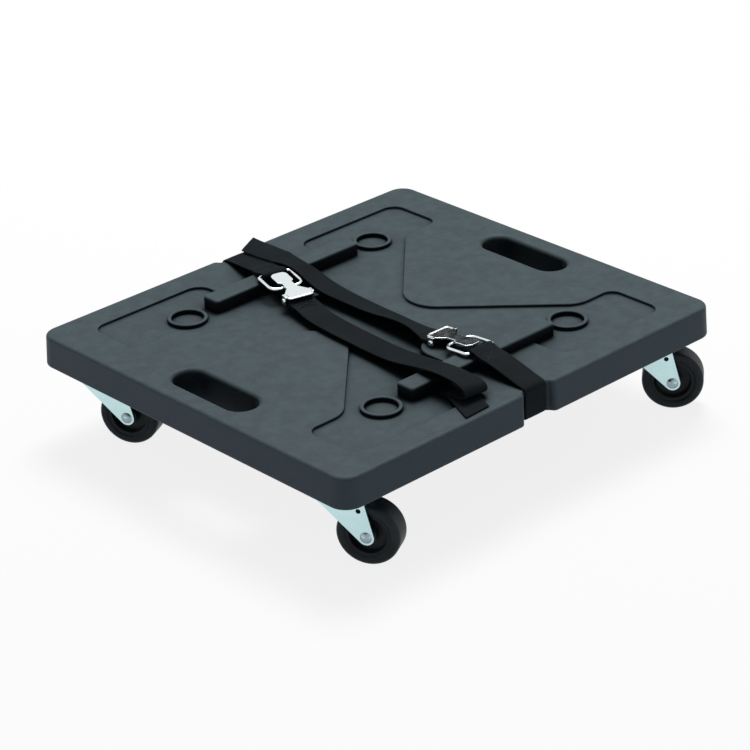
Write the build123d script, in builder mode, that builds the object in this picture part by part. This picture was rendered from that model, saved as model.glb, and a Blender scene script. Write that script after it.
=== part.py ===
from build123d import *
import os
from math import acos, asin, atan2, cos, degrees, hypot, radians, sin, tan

# A rolling platform for a rack case, in millimetres.
# The floor is at height zero, X runs along the deck's length and the origin is under the deck's middle.

# Deck body
DECK_LENGTH = 613.0
DECK_WIDTH = 546.0
DECK_THICKNESS = 40.0
DECK_DRAFT = 3.0
DECK_CORNER_RADIUS = 22.0
DECK_TOP_ROUND = 4.0
DECK_BOTTOM_ROUND = 2.5
DECK_WALL = 5.0

# Recessed field of the deck's top
FIELD_DEPTH = 4.0
FIELD_END_MARGIN = 52.5
FIELD_SIDE_MARGIN = 38.0
FIELD_END_DEPTH = 81.5
FIELD_WAIST = 86.0
FIELD_SHOULDER_RUN = 57.5
FIELD_TAB_WIDTH = 165.0
FIELD_TAB_RADIUS = 20.0
FIELD_CORNER_RADIUS = 18.0
FIELD_SHOULDER_RADIUS = 15.0
FIELD_BEND_RADIUS = 37.0
FIELD_WAIST_RADIUS = 45.0
FIELD_RIM_ROUND = 2.0
FIELD_FLOOR_ROUND = 1.5

# Ringed cups for the feet of the case, and the bars in line with them
CUP_PITCH_X = 310.0
CUP_PITCH_Y = 344.0
CUP_RADIUS = 20.0
CUP_RIM_WIDTH = 5.0
CUP_RIM_HEIGHT = 5.0
CUP_DEPTH = 6.0
CUP_RIM_ROUND = 1.8
BAR_LENGTH = 238.0
BAR_WIDTH = 28.0
BAR_HEIGHT = 12.7
BAR_END_RADIUS = 5.0
BAR_TOP_ROUND = 3.0
TONGUE_WIDTH = 66.0
TONGUE_LENGTH = 66.0
TONGUE_HEIGHT = 5.0
TONGUE_TOP_ROUND = 2.5

# Hand holes in the two ends
HAND_HOLE_LENGTH = 132.0
HAND_HOLE_WIDTH = 42.0
HAND_HOLE_INSET = 48.5
HAND_HOLE_LIP = 6.0
HAND_HOLE_SLEEVE = 8.5

# Strap notches in the two sides and the channel that joins them underneath
NOTCH_WIDTH = 42.0
NOTCH_DEPTH = 7.0
NOTCH_FLARE = 4.0
NOTCH_MOUTH_RADIUS = 7.0
NOTCH_INNER_RADIUS = 5.0
CHANNEL_DEPTH = 4.0

# Casters
CASTER_HEIGHT = 98.0
CASTER_INSET_X = 51.5
CASTER_INSET_Y = 61.0
CASTER_TRAIL = 32.0
PLATE_LENGTH_X = 60.0
PLATE_LENGTH_Y = 92.0
PLATE_THICKNESS = 3.0
PLATE_CORNER_RADIUS = 8.0
BOLT_PITCH_X = 45.0
BOLT_PITCH_Y = 73.0
BOLT_RADIUS = 4.0
BOLT_HEAD_FLATS = 13.0
BOLT_HEAD_HEIGHT = 5.3
BOLT_GRIP = 16.0
INSERT_RADIUS = 6.5
INSERT_LENGTH = 18.0
BOSS_RADIUS = 10.0
KING_PIN_RADIUS = 5.0
KING_PIN_HEAD_RADIUS = 8.0
KING_PIN_RIVET_RADIUS = 8.5
KING_PIN_RIVET_HEIGHT = 3.5
RACE_RADIUS = 20.0
RACE_GAP = 3.0
BALL_RADIUS = 3.0
BALL_COUNT = 18
CROWN_RADIUS = 29.0
CROWN_THICKNESS = 4.0
LEG_THICKNESS = 2.5
LEG_TOP_DEPTH = 5.0
LEG_END_RADIUS = 9.5
LEG_BEND_RADIUS = 3.5
LEG_HOLE_RADIUS = 3.0
LEG_HOLE_FORWARD = 24.0
LEG_HOLE_HEIGHT = 71.0

# Wheels
WHEEL_RADIUS = 38.0
TYRE_WIDTH = 32.0
TYRE_SHOULDER = 5.5
TYRE_BEAD_STEP = 2.0
CORE_RADIUS = 27.0
CORE_RIM_WIDTH = 28.0
CORE_RIM_DEPTH = 4.0
CORE_WEB_WIDTH = 15.0
HUB_RADIUS = 11.5
HUB_WIDTH = 34.0
HUB_SIDE_CLEARANCE = 0.6
SLEEVE_RADIUS = 6.5
AXLE_RADIUS = 4.0
AXLE_HEAD_RADIUS = 7.2
AXLE_HEAD_HEIGHT = 4.0
AXLE_NUT_FLATS = 13.0
AXLE_NUT_HEIGHT = 6.5
AXLE_END = 2.0

# Webbing
STRAP_WIDTH = 35.0
STRAP_THICKNESS = 1.8
STRAP_GAP = 0.3
STRAP_EYE_TAPER = 13.0
STRAP_BEND_RADIUS = 12.0
STRAP_UNDER_RADIUS = 1.2
STRAP_SLOPE_RUN = 44.0
STRAP_END_ANGLE = 40.0

# Wire loops
WIRE_RADIUS = 2.25
LOOP_INNER_WIDTH = 39.0
LOOP_LENGTH = 38.0
LOOP_EYE_CORNER_RADIUS = 4.2
LOOP_HOOK_CORNER_RADIUS = 11.0

# Hook plates, with a finger tab behind the pin
HOOK_THICKNESS = 2.5
HOOK_EDGE_ROUND = 0.6
HOOK_HEAD_WIDTH = 22.0
HOOK_HEAD_LENGTH = 22.0
HOOK_HEAD_RADIUS = 7.0
HOOK_HEAD_INSET = 8.0
HOOK_SHOULDER = 4.0
HOOK_SHOULDER_RADIUS = 2.0
HOOK_NECK_WIDTH = 14.0
HOOK_NECK_LENGTH = 13.0
HOOK_FLARE_RADIUS = 6.0
HOOK_TAB_WIDTH = 33.0
HOOK_TAB_LENGTH = 9.0
HOOK_TAB_RADIUS = 4.0
HOOK_RIM_RADIUS = 1.7
HOOK_RIM_LENGTH = 10.0
HOOK_REACH = 26.0
HOOK_TOOTH_WIDTH = 10.0
HOOK_TOOTH_DEPTH = 5.5
HOOK_TOOTH_GAP = 0.4
LUG_LENGTH = 9.0
LUG_THICKNESS = 2.2
PIN_RADIUS = 2.2
PIN_BUTTON_RADIUS = 3.4
PIN_BUTTON_HEIGHT = 1.6
PIN_BUTTON_ROUND = 1.3

# How the tie-down lies: distances in plan, with turns in degrees
BACK_EYE_INSET = 12.0
BACK_CREST_LEAD = 4.6
BACK_TURN = 14.0
BACK_TURN_START = 2.0
BACK_PLAN_RADIUS = 60.0
FRONT_EYE_INSET = -4.0
FRONT_CREST_LEAD = 18.3
FRONT_TURN = 1.0
FRONT_TURN_START = 12.0
FRONT_PLAN_RADIUS = 120.0
BACK_STRAP_PLAN_RADIUS = 250.0
BACK_STRAP_TURN = 10.5
BACK_STRAP_LOW_RUN = 97.0
BACK_STRAP_RISE_RUN = 93.0
BACK_STRAP_CREST = 19.0
BACK_STRAP_CURL = 54.0
BACK_STRAP_RETURN = 22.0
BACK_STRAP_LAYER_GAP = 0.4
BACK_STRAP_END_LENGTH = 65.0
BACK_STRAP_END_TURN = 16.5
FRONT_STRAP_PLAN_RADIUS = 300.0
FRONT_STRAP_TURN = 1.7
FRONT_STRAP_RISE_LEAD = 30.0
FRONT_STRAP_RISE_RUN = 55.0
FRONT_STRAP_BAR_RADIUS = 45.0
FRONT_STRAP_BAR_TURN = 8.5
FRONT_STRAP_LEVEL_RUN = 6.0
FRONT_STRAP_FALL_RUN = 120.0
FRONT_STRAP_FALL = 17.0

# Fits
RUNNING_FIT = 0.06
SEAT_FIT = 0.05

# The casters' names, sides and the way each one trails at rest, in degrees
CASTERS = {
    "front_left": (-1, -1, -61.5),
    "front_right": (1, -1, -50.0),
    "back_left": (-1, 1, -63.0),
    "back_right": (1, 1, -55.0),
}

# Heights and places that follow from the sizes above
deck_bottom = CASTER_HEIGHT
deck_top = CASTER_HEIGHT + DECK_THICKNESS
field_floor = deck_top - FIELD_DEPTH
bar_top = deck_top + BAR_HEIGHT
tongue_top = deck_top + TONGUE_HEIGHT
half_length = DECK_LENGTH / 2
half_width = DECK_WIDTH / 2
cup_x = CUP_PITCH_X / 2
cup_y = CUP_PITCH_Y / 2
bar_inner = cup_y - BAR_WIDTH / 2
bar_outer = cup_y + BAR_WIDTH / 2
hand_hole_x = half_length - HAND_HOLE_INSET
caster_x = half_length - CASTER_INSET_X
caster_y = half_width - CASTER_INSET_Y
channel_width = NOTCH_WIDTH
notch_wall = half_width - NOTCH_DEPTH
deck_flare = DECK_THICKNESS * tan(radians(DECK_DRAFT))
cup_floor = field_floor + CUP_RIM_HEIGHT - CUP_DEPTH
plate_bottom = deck_bottom - PLATE_THICKNESS
race_middle = plate_bottom - RACE_GAP / 2
crown_top = plate_bottom - RACE_GAP
bridge_top = crown_top - CROWN_THICKNESS
bridge_bottom = bridge_top - LEG_THICKNESS
leg_inner = HUB_WIDTH / 2 + HUB_SIDE_CLEARANCE
leg_outer = leg_inner + LEG_THICKNESS
axle_height = WHEEL_RADIUS
strap_half = STRAP_WIDTH / 2
strap_flat = deck_top + STRAP_GAP + STRAP_THICKNESS / 2
strap_over = bar_top + STRAP_GAP + STRAP_THICKNESS / 2
strap_under = deck_bottom + CHANNEL_DEPTH - STRAP_GAP - STRAP_THICKNESS / 2
strap_upright = notch_wall + STRAP_GAP + STRAP_THICKNESS / 2
loop_eye_radius = WIRE_RADIUS + STRAP_GAP + STRAP_THICKNESS
pin_eye_radius = PIN_RADIUS + STRAP_GAP + STRAP_THICKNESS
loop_eye_height = bar_top + STRAP_GAP + loop_eye_radius
strap_over_loop = loop_eye_height + WIRE_RADIUS + STRAP_GAP + STRAP_THICKNESS / 2
pin_height = tongue_top + 2 * STRAP_GAP + pin_eye_radius
hook_bottom = WIRE_RADIUS + STRAP_GAP
pin_reach = LOOP_LENGTH + HOOK_REACH
pin_drop = STRAP_GAP + pin_eye_radius - hook_bottom
buckle_tilt = degrees(asin((loop_eye_height - pin_drop - pin_height) / pin_reach))
lug_inner = strap_half + STRAP_GAP
lug_outer = lug_inner + LUG_THICKNESS

os.makedirs("parts", exist_ok=True)


def save(piece, name):
    """Label a finished piece and write it as one STEP file."""
    piece.part.label = name
    export_step(piece.part, f"parts/{name}.step")


# Flared strap notches in plan, one in the middle of each side, running out past the deck's foot
with BuildSketch() as notches:
    with BuildLine():
        FilletPolyline(
            (-NOTCH_WIDTH / 2 - 2 * NOTCH_FLARE, notch_wall + 2 * NOTCH_DEPTH),
            (-NOTCH_WIDTH / 2, notch_wall),
            (NOTCH_WIDTH / 2, notch_wall),
            (NOTCH_WIDTH / 2 + 2 * NOTCH_FLARE, notch_wall + 2 * NOTCH_DEPTH),
            radius=[0, NOTCH_INNER_RADIUS, NOTCH_INNER_RADIUS, 0],
            close=True,
        )
    make_face()
    mirror(about=Plane.XZ)

# Places of the sixteen caster bolts
bolt_places = [
    (side_x * caster_x + step_x * BOLT_PITCH_X / 2, side_y * caster_y + step_y * BOLT_PITCH_Y / 2)
    for side_x in (-1, 1)
    for side_y in (-1, 1)
    for step_x in (-1, 1)
    for step_y in (-1, 1)
]

# Air space inside the moulded deck, with solid sleeves round the hand holes and posts round the inserts
with BuildPart() as deck_cavity:
    with BuildSketch(Plane.XY.offset(deck_bottom + DECK_WALL)):
        RectangleRounded(
            DECK_LENGTH - 2 * DECK_WALL,
            DECK_WIDTH - 2 * DECK_WALL,
            DECK_CORNER_RADIUS - DECK_WALL,
        )
        with Locations((0, -half_width), (0, half_width)):
            Rectangle(
                NOTCH_WIDTH + 2 * NOTCH_FLARE + 2 * DECK_WALL,
                2 * NOTCH_DEPTH + 2 * DECK_WALL,
                mode=Mode.SUBTRACT,
            )
        with Locations((-hand_hole_x, 0), (hand_hole_x, 0)):
            SlotOverall(
                HAND_HOLE_LENGTH + 2 * HAND_HOLE_SLEEVE,
                HAND_HOLE_WIDTH + 2 * HAND_HOLE_SLEEVE,
                rotation=90,
                mode=Mode.SUBTRACT,
            )
        with Locations(*bolt_places):
            Circle(BOSS_RADIUS, mode=Mode.SUBTRACT)
    extrude(amount=cup_floor - DECK_WALL - deck_bottom - DECK_WALL)
    with BuildSketch(Plane.XY.offset(deck_bottom + DECK_WALL)):
        Rectangle(channel_width + 2 * DECK_WALL, DECK_WIDTH)
    extrude(amount=CHANNEL_DEPTH, mode=Mode.SUBTRACT)

with BuildPart() as deck_shell:
    with BuildSketch(Plane.XY.offset(deck_bottom)):
        RectangleRounded(
            DECK_LENGTH + 2 * deck_flare,
            DECK_WIDTH + 2 * deck_flare,
            DECK_CORNER_RADIUS + deck_flare,
        )
    extrude(amount=DECK_THICKNESS, taper=DECK_DRAFT)
    with BuildSketch(Plane.XY.offset(deck_bottom)):
        add(notches.sketch)
    extrude(amount=DECK_THICKNESS, mode=Mode.SUBTRACT)
    mouths = deck_shell.edges().filter_by(
        lambda edge: abs(edge.center().X) < NOTCH_WIDTH
        and abs(edge.center().Y) > half_width
        and edge.bounding_box().size.Z > DECK_THICKNESS / 2
    )
    fillet(mouths, NOTCH_MOUTH_RADIUS)
    fillet(deck_shell.faces().sort_by(Axis.Z)[-1].edges(), DECK_TOP_ROUND)
    fillet(deck_shell.faces().sort_by(Axis.Z)[0].edges(), DECK_BOTTOM_ROUND)

    # Recessed field, an hourglass in plan that leaves a raised tab behind each bar
    field_x = half_length - FIELD_END_MARGIN
    field_y = half_width - FIELD_SIDE_MARGIN
    shoulder_y = field_y - FIELD_END_DEPTH
    waist_x = FIELD_WAIST / 2
    quarter = [
        (FIELD_TAB_WIDTH / 2, cup_y),
        (FIELD_TAB_WIDTH / 2, field_y),
        (field_x, field_y),
        (field_x, shoulder_y),
        (field_x - FIELD_SHOULDER_RUN, shoulder_y),
    ]
    quarter_radii = [FIELD_TAB_RADIUS, FIELD_CORNER_RADIUS, FIELD_SHOULDER_RADIUS, FIELD_BEND_RADIUS]
    with BuildSketch(Plane.XY.offset(deck_top)):
        with BuildLine():
            half = FilletPolyline(
                *quarter,
                (waist_x, 0),
                *[(x, -y) for x, y in reversed(quarter)],
                radius=[*quarter_radii, FIELD_WAIST_RADIUS, *reversed(quarter_radii)],
            )
            mirror(half, about=Plane.YZ)
            Line((-FIELD_TAB_WIDTH / 2, cup_y), (FIELD_TAB_WIDTH / 2, cup_y))
            Line((-FIELD_TAB_WIDTH / 2, -cup_y), (FIELD_TAB_WIDTH / 2, -cup_y))
        make_face()
    extrude(amount=-FIELD_DEPTH, mode=Mode.SUBTRACT)
    floor_faces = deck_shell.faces().filter_by_position(Axis.Z, field_floor, field_floor)
    fillet(floor_faces.edges(), FIELD_FLOOR_ROUND)
    fillet(deck_shell.faces().sort_by(Axis.Z)[-1].inner_wires()[0].edges(), FIELD_RIM_ROUND)

    # Half-round tongues, which the bars run across
    with BuildSketch(Plane.XY.offset(field_floor)):
        for side in (-1, 1):
            with Locations((0, side * (bar_inner - (TONGUE_LENGTH - TONGUE_WIDTH / 2) / 2))):
                Rectangle(TONGUE_WIDTH, TONGUE_LENGTH - TONGUE_WIDTH / 2)
            with Locations((0, side * (bar_inner - TONGUE_LENGTH + TONGUE_WIDTH / 2))):
                Circle(TONGUE_WIDTH / 2)
    extrude(amount=tongue_top - field_floor)
    fillet(deck_shell.edges().filter_by_position(Axis.Z, tongue_top, tongue_top), TONGUE_TOP_ROUND)
    with BuildSketch(Plane.XY.offset(field_floor)):
        with Locations((0, -cup_y), (0, cup_y)):
            RectangleRounded(BAR_LENGTH, BAR_WIDTH, BAR_END_RADIUS)
    extrude(amount=bar_top - field_floor)
    fillet(deck_shell.edges().filter_by_position(Axis.Z, bar_top, bar_top), BAR_TOP_ROUND)

    # Ringed cups
    rim_top = field_floor + CUP_RIM_HEIGHT
    with BuildSketch(Plane.XY.offset(field_floor)):
        with GridLocations(CUP_PITCH_X, CUP_PITCH_Y, 2, 2):
            Circle(CUP_RADIUS + CUP_RIM_WIDTH)
    extrude(amount=CUP_RIM_HEIGHT)
    with BuildSketch(Plane.XY.offset(rim_top)):
        with GridLocations(CUP_PITCH_X, CUP_PITCH_Y, 2, 2):
            Circle(CUP_RADIUS)
    extrude(amount=-CUP_DEPTH, mode=Mode.SUBTRACT)
    fillet(deck_shell.edges().filter_by_position(Axis.Z, rim_top, rim_top), CUP_RIM_ROUND)

    # Hand holes with soft lips
    with BuildSketch(Plane.XY.offset(deck_bottom)):
        with Locations((-hand_hole_x, 0), (hand_hole_x, 0)):
            SlotOverall(HAND_HOLE_LENGTH, HAND_HOLE_WIDTH, rotation=90)
    extrude(amount=DECK_THICKNESS, mode=Mode.SUBTRACT)
    lips = deck_shell.edges().filter_by(
        lambda edge: abs(abs(edge.center().X) - hand_hole_x) < HAND_HOLE_WIDTH * 0.6
        and abs(edge.center().Y) < HAND_HOLE_LENGTH / 2
    )
    fillet(lips.filter_by_position(Axis.Z, deck_top, deck_top), HAND_HOLE_LIP)
    fillet(lips.filter_by_position(Axis.Z, deck_bottom, deck_bottom), DECK_BOTTOM_ROUND)

    # Strap channel, insert holes and the air space
    with BuildSketch(Plane.XY.offset(deck_bottom)):
        Rectangle(channel_width, DECK_WIDTH)
    extrude(amount=CHANNEL_DEPTH, mode=Mode.SUBTRACT)
    with BuildSketch(Plane.XY.offset(deck_bottom)):
        with Locations(*bolt_places):
            Circle(INSERT_RADIUS + SEAT_FIT)
    extrude(amount=INSERT_LENGTH + SEAT_FIT, mode=Mode.SUBTRACT)
    add(deck_cavity.part, mode=Mode.SUBTRACT)
save(deck_shell, "deck_shell")

with BuildPart() as caster_inserts:
    with BuildSketch(Plane.XY.offset(deck_bottom)):
        with Locations(*bolt_places):
            Circle(INSERT_RADIUS)
            Circle(BOLT_RADIUS + RUNNING_FIT, mode=Mode.SUBTRACT)
    extrude(amount=INSERT_LENGTH)
save(caster_inserts, "caster_inserts")


def build_caster(name, x, y, heading):
    """Make one caster's pieces, with its wheel trailing along heading, and write them."""
    straight = Plane((x, y, 0), x_dir=(1, 0, 0), z_dir=(0, 0, 1))
    turned = Plane((x, y, 0), x_dir=(cos(radians(heading)), sin(radians(heading)), 0), z_dir=(0, 0, 1))
    side = Plane((x, y, 0), x_dir=turned.x_dir, z_dir=-turned.y_dir)
    swivel = Axis((x, y, 0), (0, 0, 1))
    axle_middle = turned.from_local_coords((CASTER_TRAIL, 0, axle_height))
    across = Plane(axle_middle, x_dir=turned.y_dir, z_dir=turned.x_dir)
    axle = Axis(axle_middle, turned.y_dir)

    with BuildPart() as top_plate:
        with BuildSketch(straight.offset(plate_bottom)):
            RectangleRounded(PLATE_LENGTH_X, PLATE_LENGTH_Y, PLATE_CORNER_RADIUS)
            with GridLocations(BOLT_PITCH_X, BOLT_PITCH_Y, 2, 2):
                Circle(BOLT_RADIUS + RUNNING_FIT, mode=Mode.SUBTRACT)
        extrude(amount=PLATE_THICKNESS)
        with BuildSketch(side):
            with BuildLine():
                Polyline(
                    (0, plate_bottom),
                    (KING_PIN_RADIUS + SEAT_FIT, plate_bottom),
                    (KING_PIN_HEAD_RADIUS + SEAT_FIT, deck_bottom),
                    (0, deck_bottom),
                    close=True,
                )
            make_face()
            with Locations((RACE_RADIUS, race_middle)):
                Circle(BALL_RADIUS + SEAT_FIT)
        revolve(axis=swivel, mode=Mode.SUBTRACT)
    save(top_plate, f"{name}_top_plate")

    with BuildPart() as mount_bolts:
        with BuildSketch(straight.offset(plate_bottom)):
            with GridLocations(BOLT_PITCH_X, BOLT_PITCH_Y, 2, 2):
                RegularPolygon(BOLT_HEAD_FLATS / 2, 6, major_radius=False)
        extrude(amount=-BOLT_HEAD_HEIGHT)
        with BuildSketch(straight.offset(plate_bottom)):
            with GridLocations(BOLT_PITCH_X, BOLT_PITCH_Y, 2, 2):
                Circle(BOLT_RADIUS)
        extrude(amount=PLATE_THICKNESS + BOLT_GRIP)
    save(mount_bolts, f"{name}_mount_bolts")

    # The pin's rivet head holds the fork up, just clear of it
    rivet_top = bridge_bottom - RUNNING_FIT
    with BuildPart() as king_pin:
        with BuildSketch(side):
            with BuildLine():
                Polyline(
                    (0, deck_bottom),
                    (KING_PIN_HEAD_RADIUS, deck_bottom),
                    (KING_PIN_RADIUS, plate_bottom),
                    (KING_PIN_RADIUS, rivet_top),
                    (KING_PIN_RIVET_RADIUS, rivet_top),
                    (KING_PIN_RIVET_RADIUS, rivet_top - KING_PIN_RIVET_HEIGHT / 2),
                    (KING_PIN_RADIUS, rivet_top - KING_PIN_RIVET_HEIGHT),
                    (0, rivet_top - KING_PIN_RIVET_HEIGHT),
                    close=True,
                )
            make_face()
        revolve(axis=swivel)
    save(king_pin, f"{name}_king_pin")

    with BuildPart() as race_balls:
        with Locations(turned.offset(race_middle)):
            with PolarLocations(RACE_RADIUS, BALL_COUNT):
                Sphere(BALL_RADIUS)
    save(race_balls, f"{name}_race_balls")

    # The fork is one bent sheet: a U in section, trimmed to a tapering leg from the side
    sheet_middle = leg_inner + LEG_THICKNESS / 2
    with BuildPart() as fork:
        with BuildSketch(Plane((x, y, 0), x_dir=turned.y_dir, z_dir=turned.x_dir)):
            with BuildLine():
                FilletPolyline(
                    (-sheet_middle, 0),
                    (-sheet_middle, bridge_top - LEG_THICKNESS / 2),
                    (sheet_middle, bridge_top - LEG_THICKNESS / 2),
                    (sheet_middle, 0),
                    radius=LEG_BEND_RADIUS,
                )
            trace(line_width=LEG_THICKNESS)
        extrude(amount=CASTER_TRAIL + CROWN_RADIUS, both=True)
        with BuildSketch(side):
            with Locations((0, bridge_top - LEG_TOP_DEPTH / 2)):
                Rectangle(2 * CROWN_RADIUS, LEG_TOP_DEPTH)
            with Locations((CASTER_TRAIL, axle_height)):
                Circle(LEG_END_RADIUS)
            make_hull()
        extrude(amount=leg_outer + LEG_THICKNESS, both=True, mode=Mode.INTERSECT)
        with BuildSketch(turned.offset(bridge_top)):
            Circle(CROWN_RADIUS)
        extrude(amount=CROWN_THICKNESS)
        with BuildSketch(turned.offset(bridge_bottom)):
            Circle(KING_PIN_RADIUS + RUNNING_FIT)
        extrude(amount=LEG_THICKNESS + CROWN_THICKNESS, mode=Mode.SUBTRACT)
        with BuildSketch(side):
            with Locations((RACE_RADIUS, race_middle)):
                Circle(BALL_RADIUS + SEAT_FIT)
        revolve(axis=swivel, mode=Mode.SUBTRACT)
        with BuildSketch(side):
            with Locations((CASTER_TRAIL, axle_height)):
                Circle(AXLE_RADIUS + SEAT_FIT)
            with Locations((LEG_HOLE_FORWARD, LEG_HOLE_HEIGHT)):
                Circle(LEG_HOLE_RADIUS)
        extrude(amount=leg_outer, both=True, mode=Mode.SUBTRACT)
    save(fork, f"{name}_fork")

    # The domed head faces one side of the fork and the nut the other
    nut_face = leg_outer + AXLE_NUT_HEIGHT
    with BuildPart() as axle_bolt:
        with BuildSketch(across):
            with BuildLine():
                Polyline(
                    (-leg_outer - AXLE_HEAD_HEIGHT, 0),
                    (nut_face + AXLE_END, 0),
                    (nut_face + AXLE_END, AXLE_RADIUS),
                    (-leg_outer, AXLE_RADIUS),
                    (-leg_outer, AXLE_HEAD_RADIUS),
                )
                RadiusArc(
                    (-leg_outer, AXLE_HEAD_RADIUS),
                    (-leg_outer - AXLE_HEAD_HEIGHT, 0),
                    -(AXLE_HEAD_RADIUS**2 + AXLE_HEAD_HEIGHT**2) / (2 * AXLE_HEAD_HEIGHT),
                )
            make_face()
        revolve(axis=axle)
    save(axle_bolt, f"{name}_axle_bolt")

    with BuildPart() as axle_nut:
        with BuildSketch(side.offset(-leg_outer)):
            with Locations((CASTER_TRAIL, axle_height)):
                RegularPolygon(AXLE_NUT_FLATS / 2, 6, major_radius=False)
                Circle(AXLE_RADIUS + SEAT_FIT, mode=Mode.SUBTRACT)
        extrude(amount=-AXLE_NUT_HEIGHT)
    save(axle_nut, f"{name}_axle_nut")

    with BuildPart() as axle_sleeve:
        with BuildSketch(side):
            with Locations((CASTER_TRAIL, axle_height)):
                Circle(SLEEVE_RADIUS)
                Circle(AXLE_RADIUS + SEAT_FIT, mode=Mode.SUBTRACT)
        extrude(amount=leg_inner - SEAT_FIT, both=True)
    save(axle_sleeve, f"{name}_axle_sleeve")

    with BuildPart() as wheel_core:
        with BuildSketch(across):
            with BuildLine():
                half = Polyline(
                    (0, CORE_RADIUS - SEAT_FIT),
                    (CORE_RIM_WIDTH / 2, CORE_RADIUS - SEAT_FIT),
                    (CORE_RIM_WIDTH / 2, CORE_RADIUS - CORE_RIM_DEPTH),
                    (CORE_WEB_WIDTH / 2, CORE_RADIUS - CORE_RIM_DEPTH - TYRE_BEAD_STEP),
                    (CORE_WEB_WIDTH / 2, HUB_RADIUS),
                    (HUB_WIDTH / 2, HUB_RADIUS),
                    (HUB_WIDTH / 2, SLEEVE_RADIUS + RUNNING_FIT),
                    (0, SLEEVE_RADIUS + RUNNING_FIT),
                )
                mirror(half, about=Plane.YZ)
            make_face()
        revolve(axis=axle)
    save(wheel_core, f"{name}_wheel_core")

    with BuildPart() as wheel_tyre:
        with BuildSketch(across):
            with BuildLine():
                half = FilletPolyline(
                    (0, WHEEL_RADIUS),
                    (TYRE_WIDTH / 2, WHEEL_RADIUS),
                    (TYRE_WIDTH / 2, CORE_RADIUS + TYRE_BEAD_STEP),
                    (CORE_RIM_WIDTH / 2, CORE_RADIUS),
                    (0, CORE_RADIUS),
                    radius=[TYRE_SHOULDER, 0, 0],
                )
                mirror(half, about=Plane.YZ)
            make_face()
        revolve(axis=axle)
    save(wheel_tyre, f"{name}_wheel_tyre")


for caster_name, (side_x, side_y, trail_heading) in CASTERS.items():
    build_caster(caster_name, side_x * caster_x, side_y * caster_y, trail_heading)


def plan_point(start, heading, distance):
    """Return the plan point at a distance from start along a heading in degrees."""
    return (start[0] + distance * cos(radians(heading)), start[1] + distance * sin(radians(heading)))


def turn_centre(start, heading, radius, turn):
    """Return the centre of a plan arc that leaves start along heading and bends towards turn."""
    return plan_point(start, heading + (90 if turn > 0 else -90), radius)


def turn_end(start, heading, radius, turn):
    """Return where that plan arc ends."""
    centre = turn_centre(start, heading, radius, turn)
    return plan_point(centre, heading + turn - (90 if turn > 0 else -90), radius)


def upright_plane(start, heading):
    """Return the upright plane through start whose sketch X runs along heading and sketch Y runs up."""
    along = Vector(cos(radians(heading)), sin(radians(heading)), 0)
    return Plane((start[0], start[1], 0), x_dir=along, z_dir=along.cross(Vector(0, 0, 1)))


def buckle_plane(eye, heading):
    """Return the tilted plane of a loop, with its Y from the sewn eye towards the hook's pin."""
    lean = sin(radians(buckle_tilt))
    normal = (lean * cos(radians(heading)), lean * sin(radians(heading)), cos(radians(buckle_tilt)))
    sideways = (sin(radians(heading)), -cos(radians(heading)), 0)
    return Plane((eye[0], eye[1], loop_eye_height), x_dir=sideways, z_dir=normal)


class DeckStrapEnd:
    """One end of the deck strap, climbing from the deck's edge in a tilted plane to its eye."""

    def __init__(self, side, crest_lead, turn_start, radius, turn, eye_inset):
        self.side = side
        self.turn_start = turn_start
        self.radius = radius
        self.turn = turn
        self.crest_y = bar_outer + crest_lead
        corner = DECK_TOP_ROUND + STRAP_GAP + STRAP_THICKNESS / 2
        over = notch_wall - DECK_TOP_ROUND - self.crest_y
        rise = strap_over - deck_top + DECK_TOP_ROUND
        slope = acos(corner / hypot(over, rise)) - atan2(over, rise)
        edge_y = notch_wall - DECK_TOP_ROUND + corner * sin(slope)
        edge_z = deck_top - DECK_TOP_ROUND + corner * cos(slope)
        self.knee_z = edge_z - (strap_upright - edge_y) * tan(slope)
        self.edge = (0, side * edge_y, edge_z)
        self.lead_in = (side * (edge_y - STRAP_THICKNESS), edge_z + STRAP_THICKNESS * tan(slope))
        self.plane = Plane(
            self.edge,
            x_dir=(side, 0, 0),
            z_dir=(0, side * sin(slope), cos(slope)),
        )
        self.heading = -90 * side - turn
        turned = turn_end((0, -turn_start), -90, radius, -turn)
        self.climb_length = (edge_y - self.crest_y) / cos(slope)
        self.crest_run = (self.climb_length + turned[1]) / cos(radians(turn))
        self.turned = turned
        crest = self.plane.from_local_coords(plan_point(turned, -90 - turn, self.crest_run))
        self.crest = (crest.X, crest.Y)
        self.run = (abs(crest.Y) - cup_y + eye_inset) / cos(radians(turn))
        self.eye = plan_point(self.crest, self.heading, self.run)


# Headings and plan points of the tie-down
back_end = DeckStrapEnd(1, BACK_CREST_LEAD, BACK_TURN_START, BACK_PLAN_RADIUS, BACK_TURN, BACK_EYE_INSET)
front_end = DeckStrapEnd(
    -1, FRONT_CREST_LEAD, FRONT_TURN_START, FRONT_PLAN_RADIUS, FRONT_TURN, FRONT_EYE_INSET
)
back_heading = back_end.heading
front_heading = front_end.heading
back_buckle = buckle_plane(back_end.eye, back_heading)
front_buckle = buckle_plane(front_end.eye, front_heading)


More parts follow.
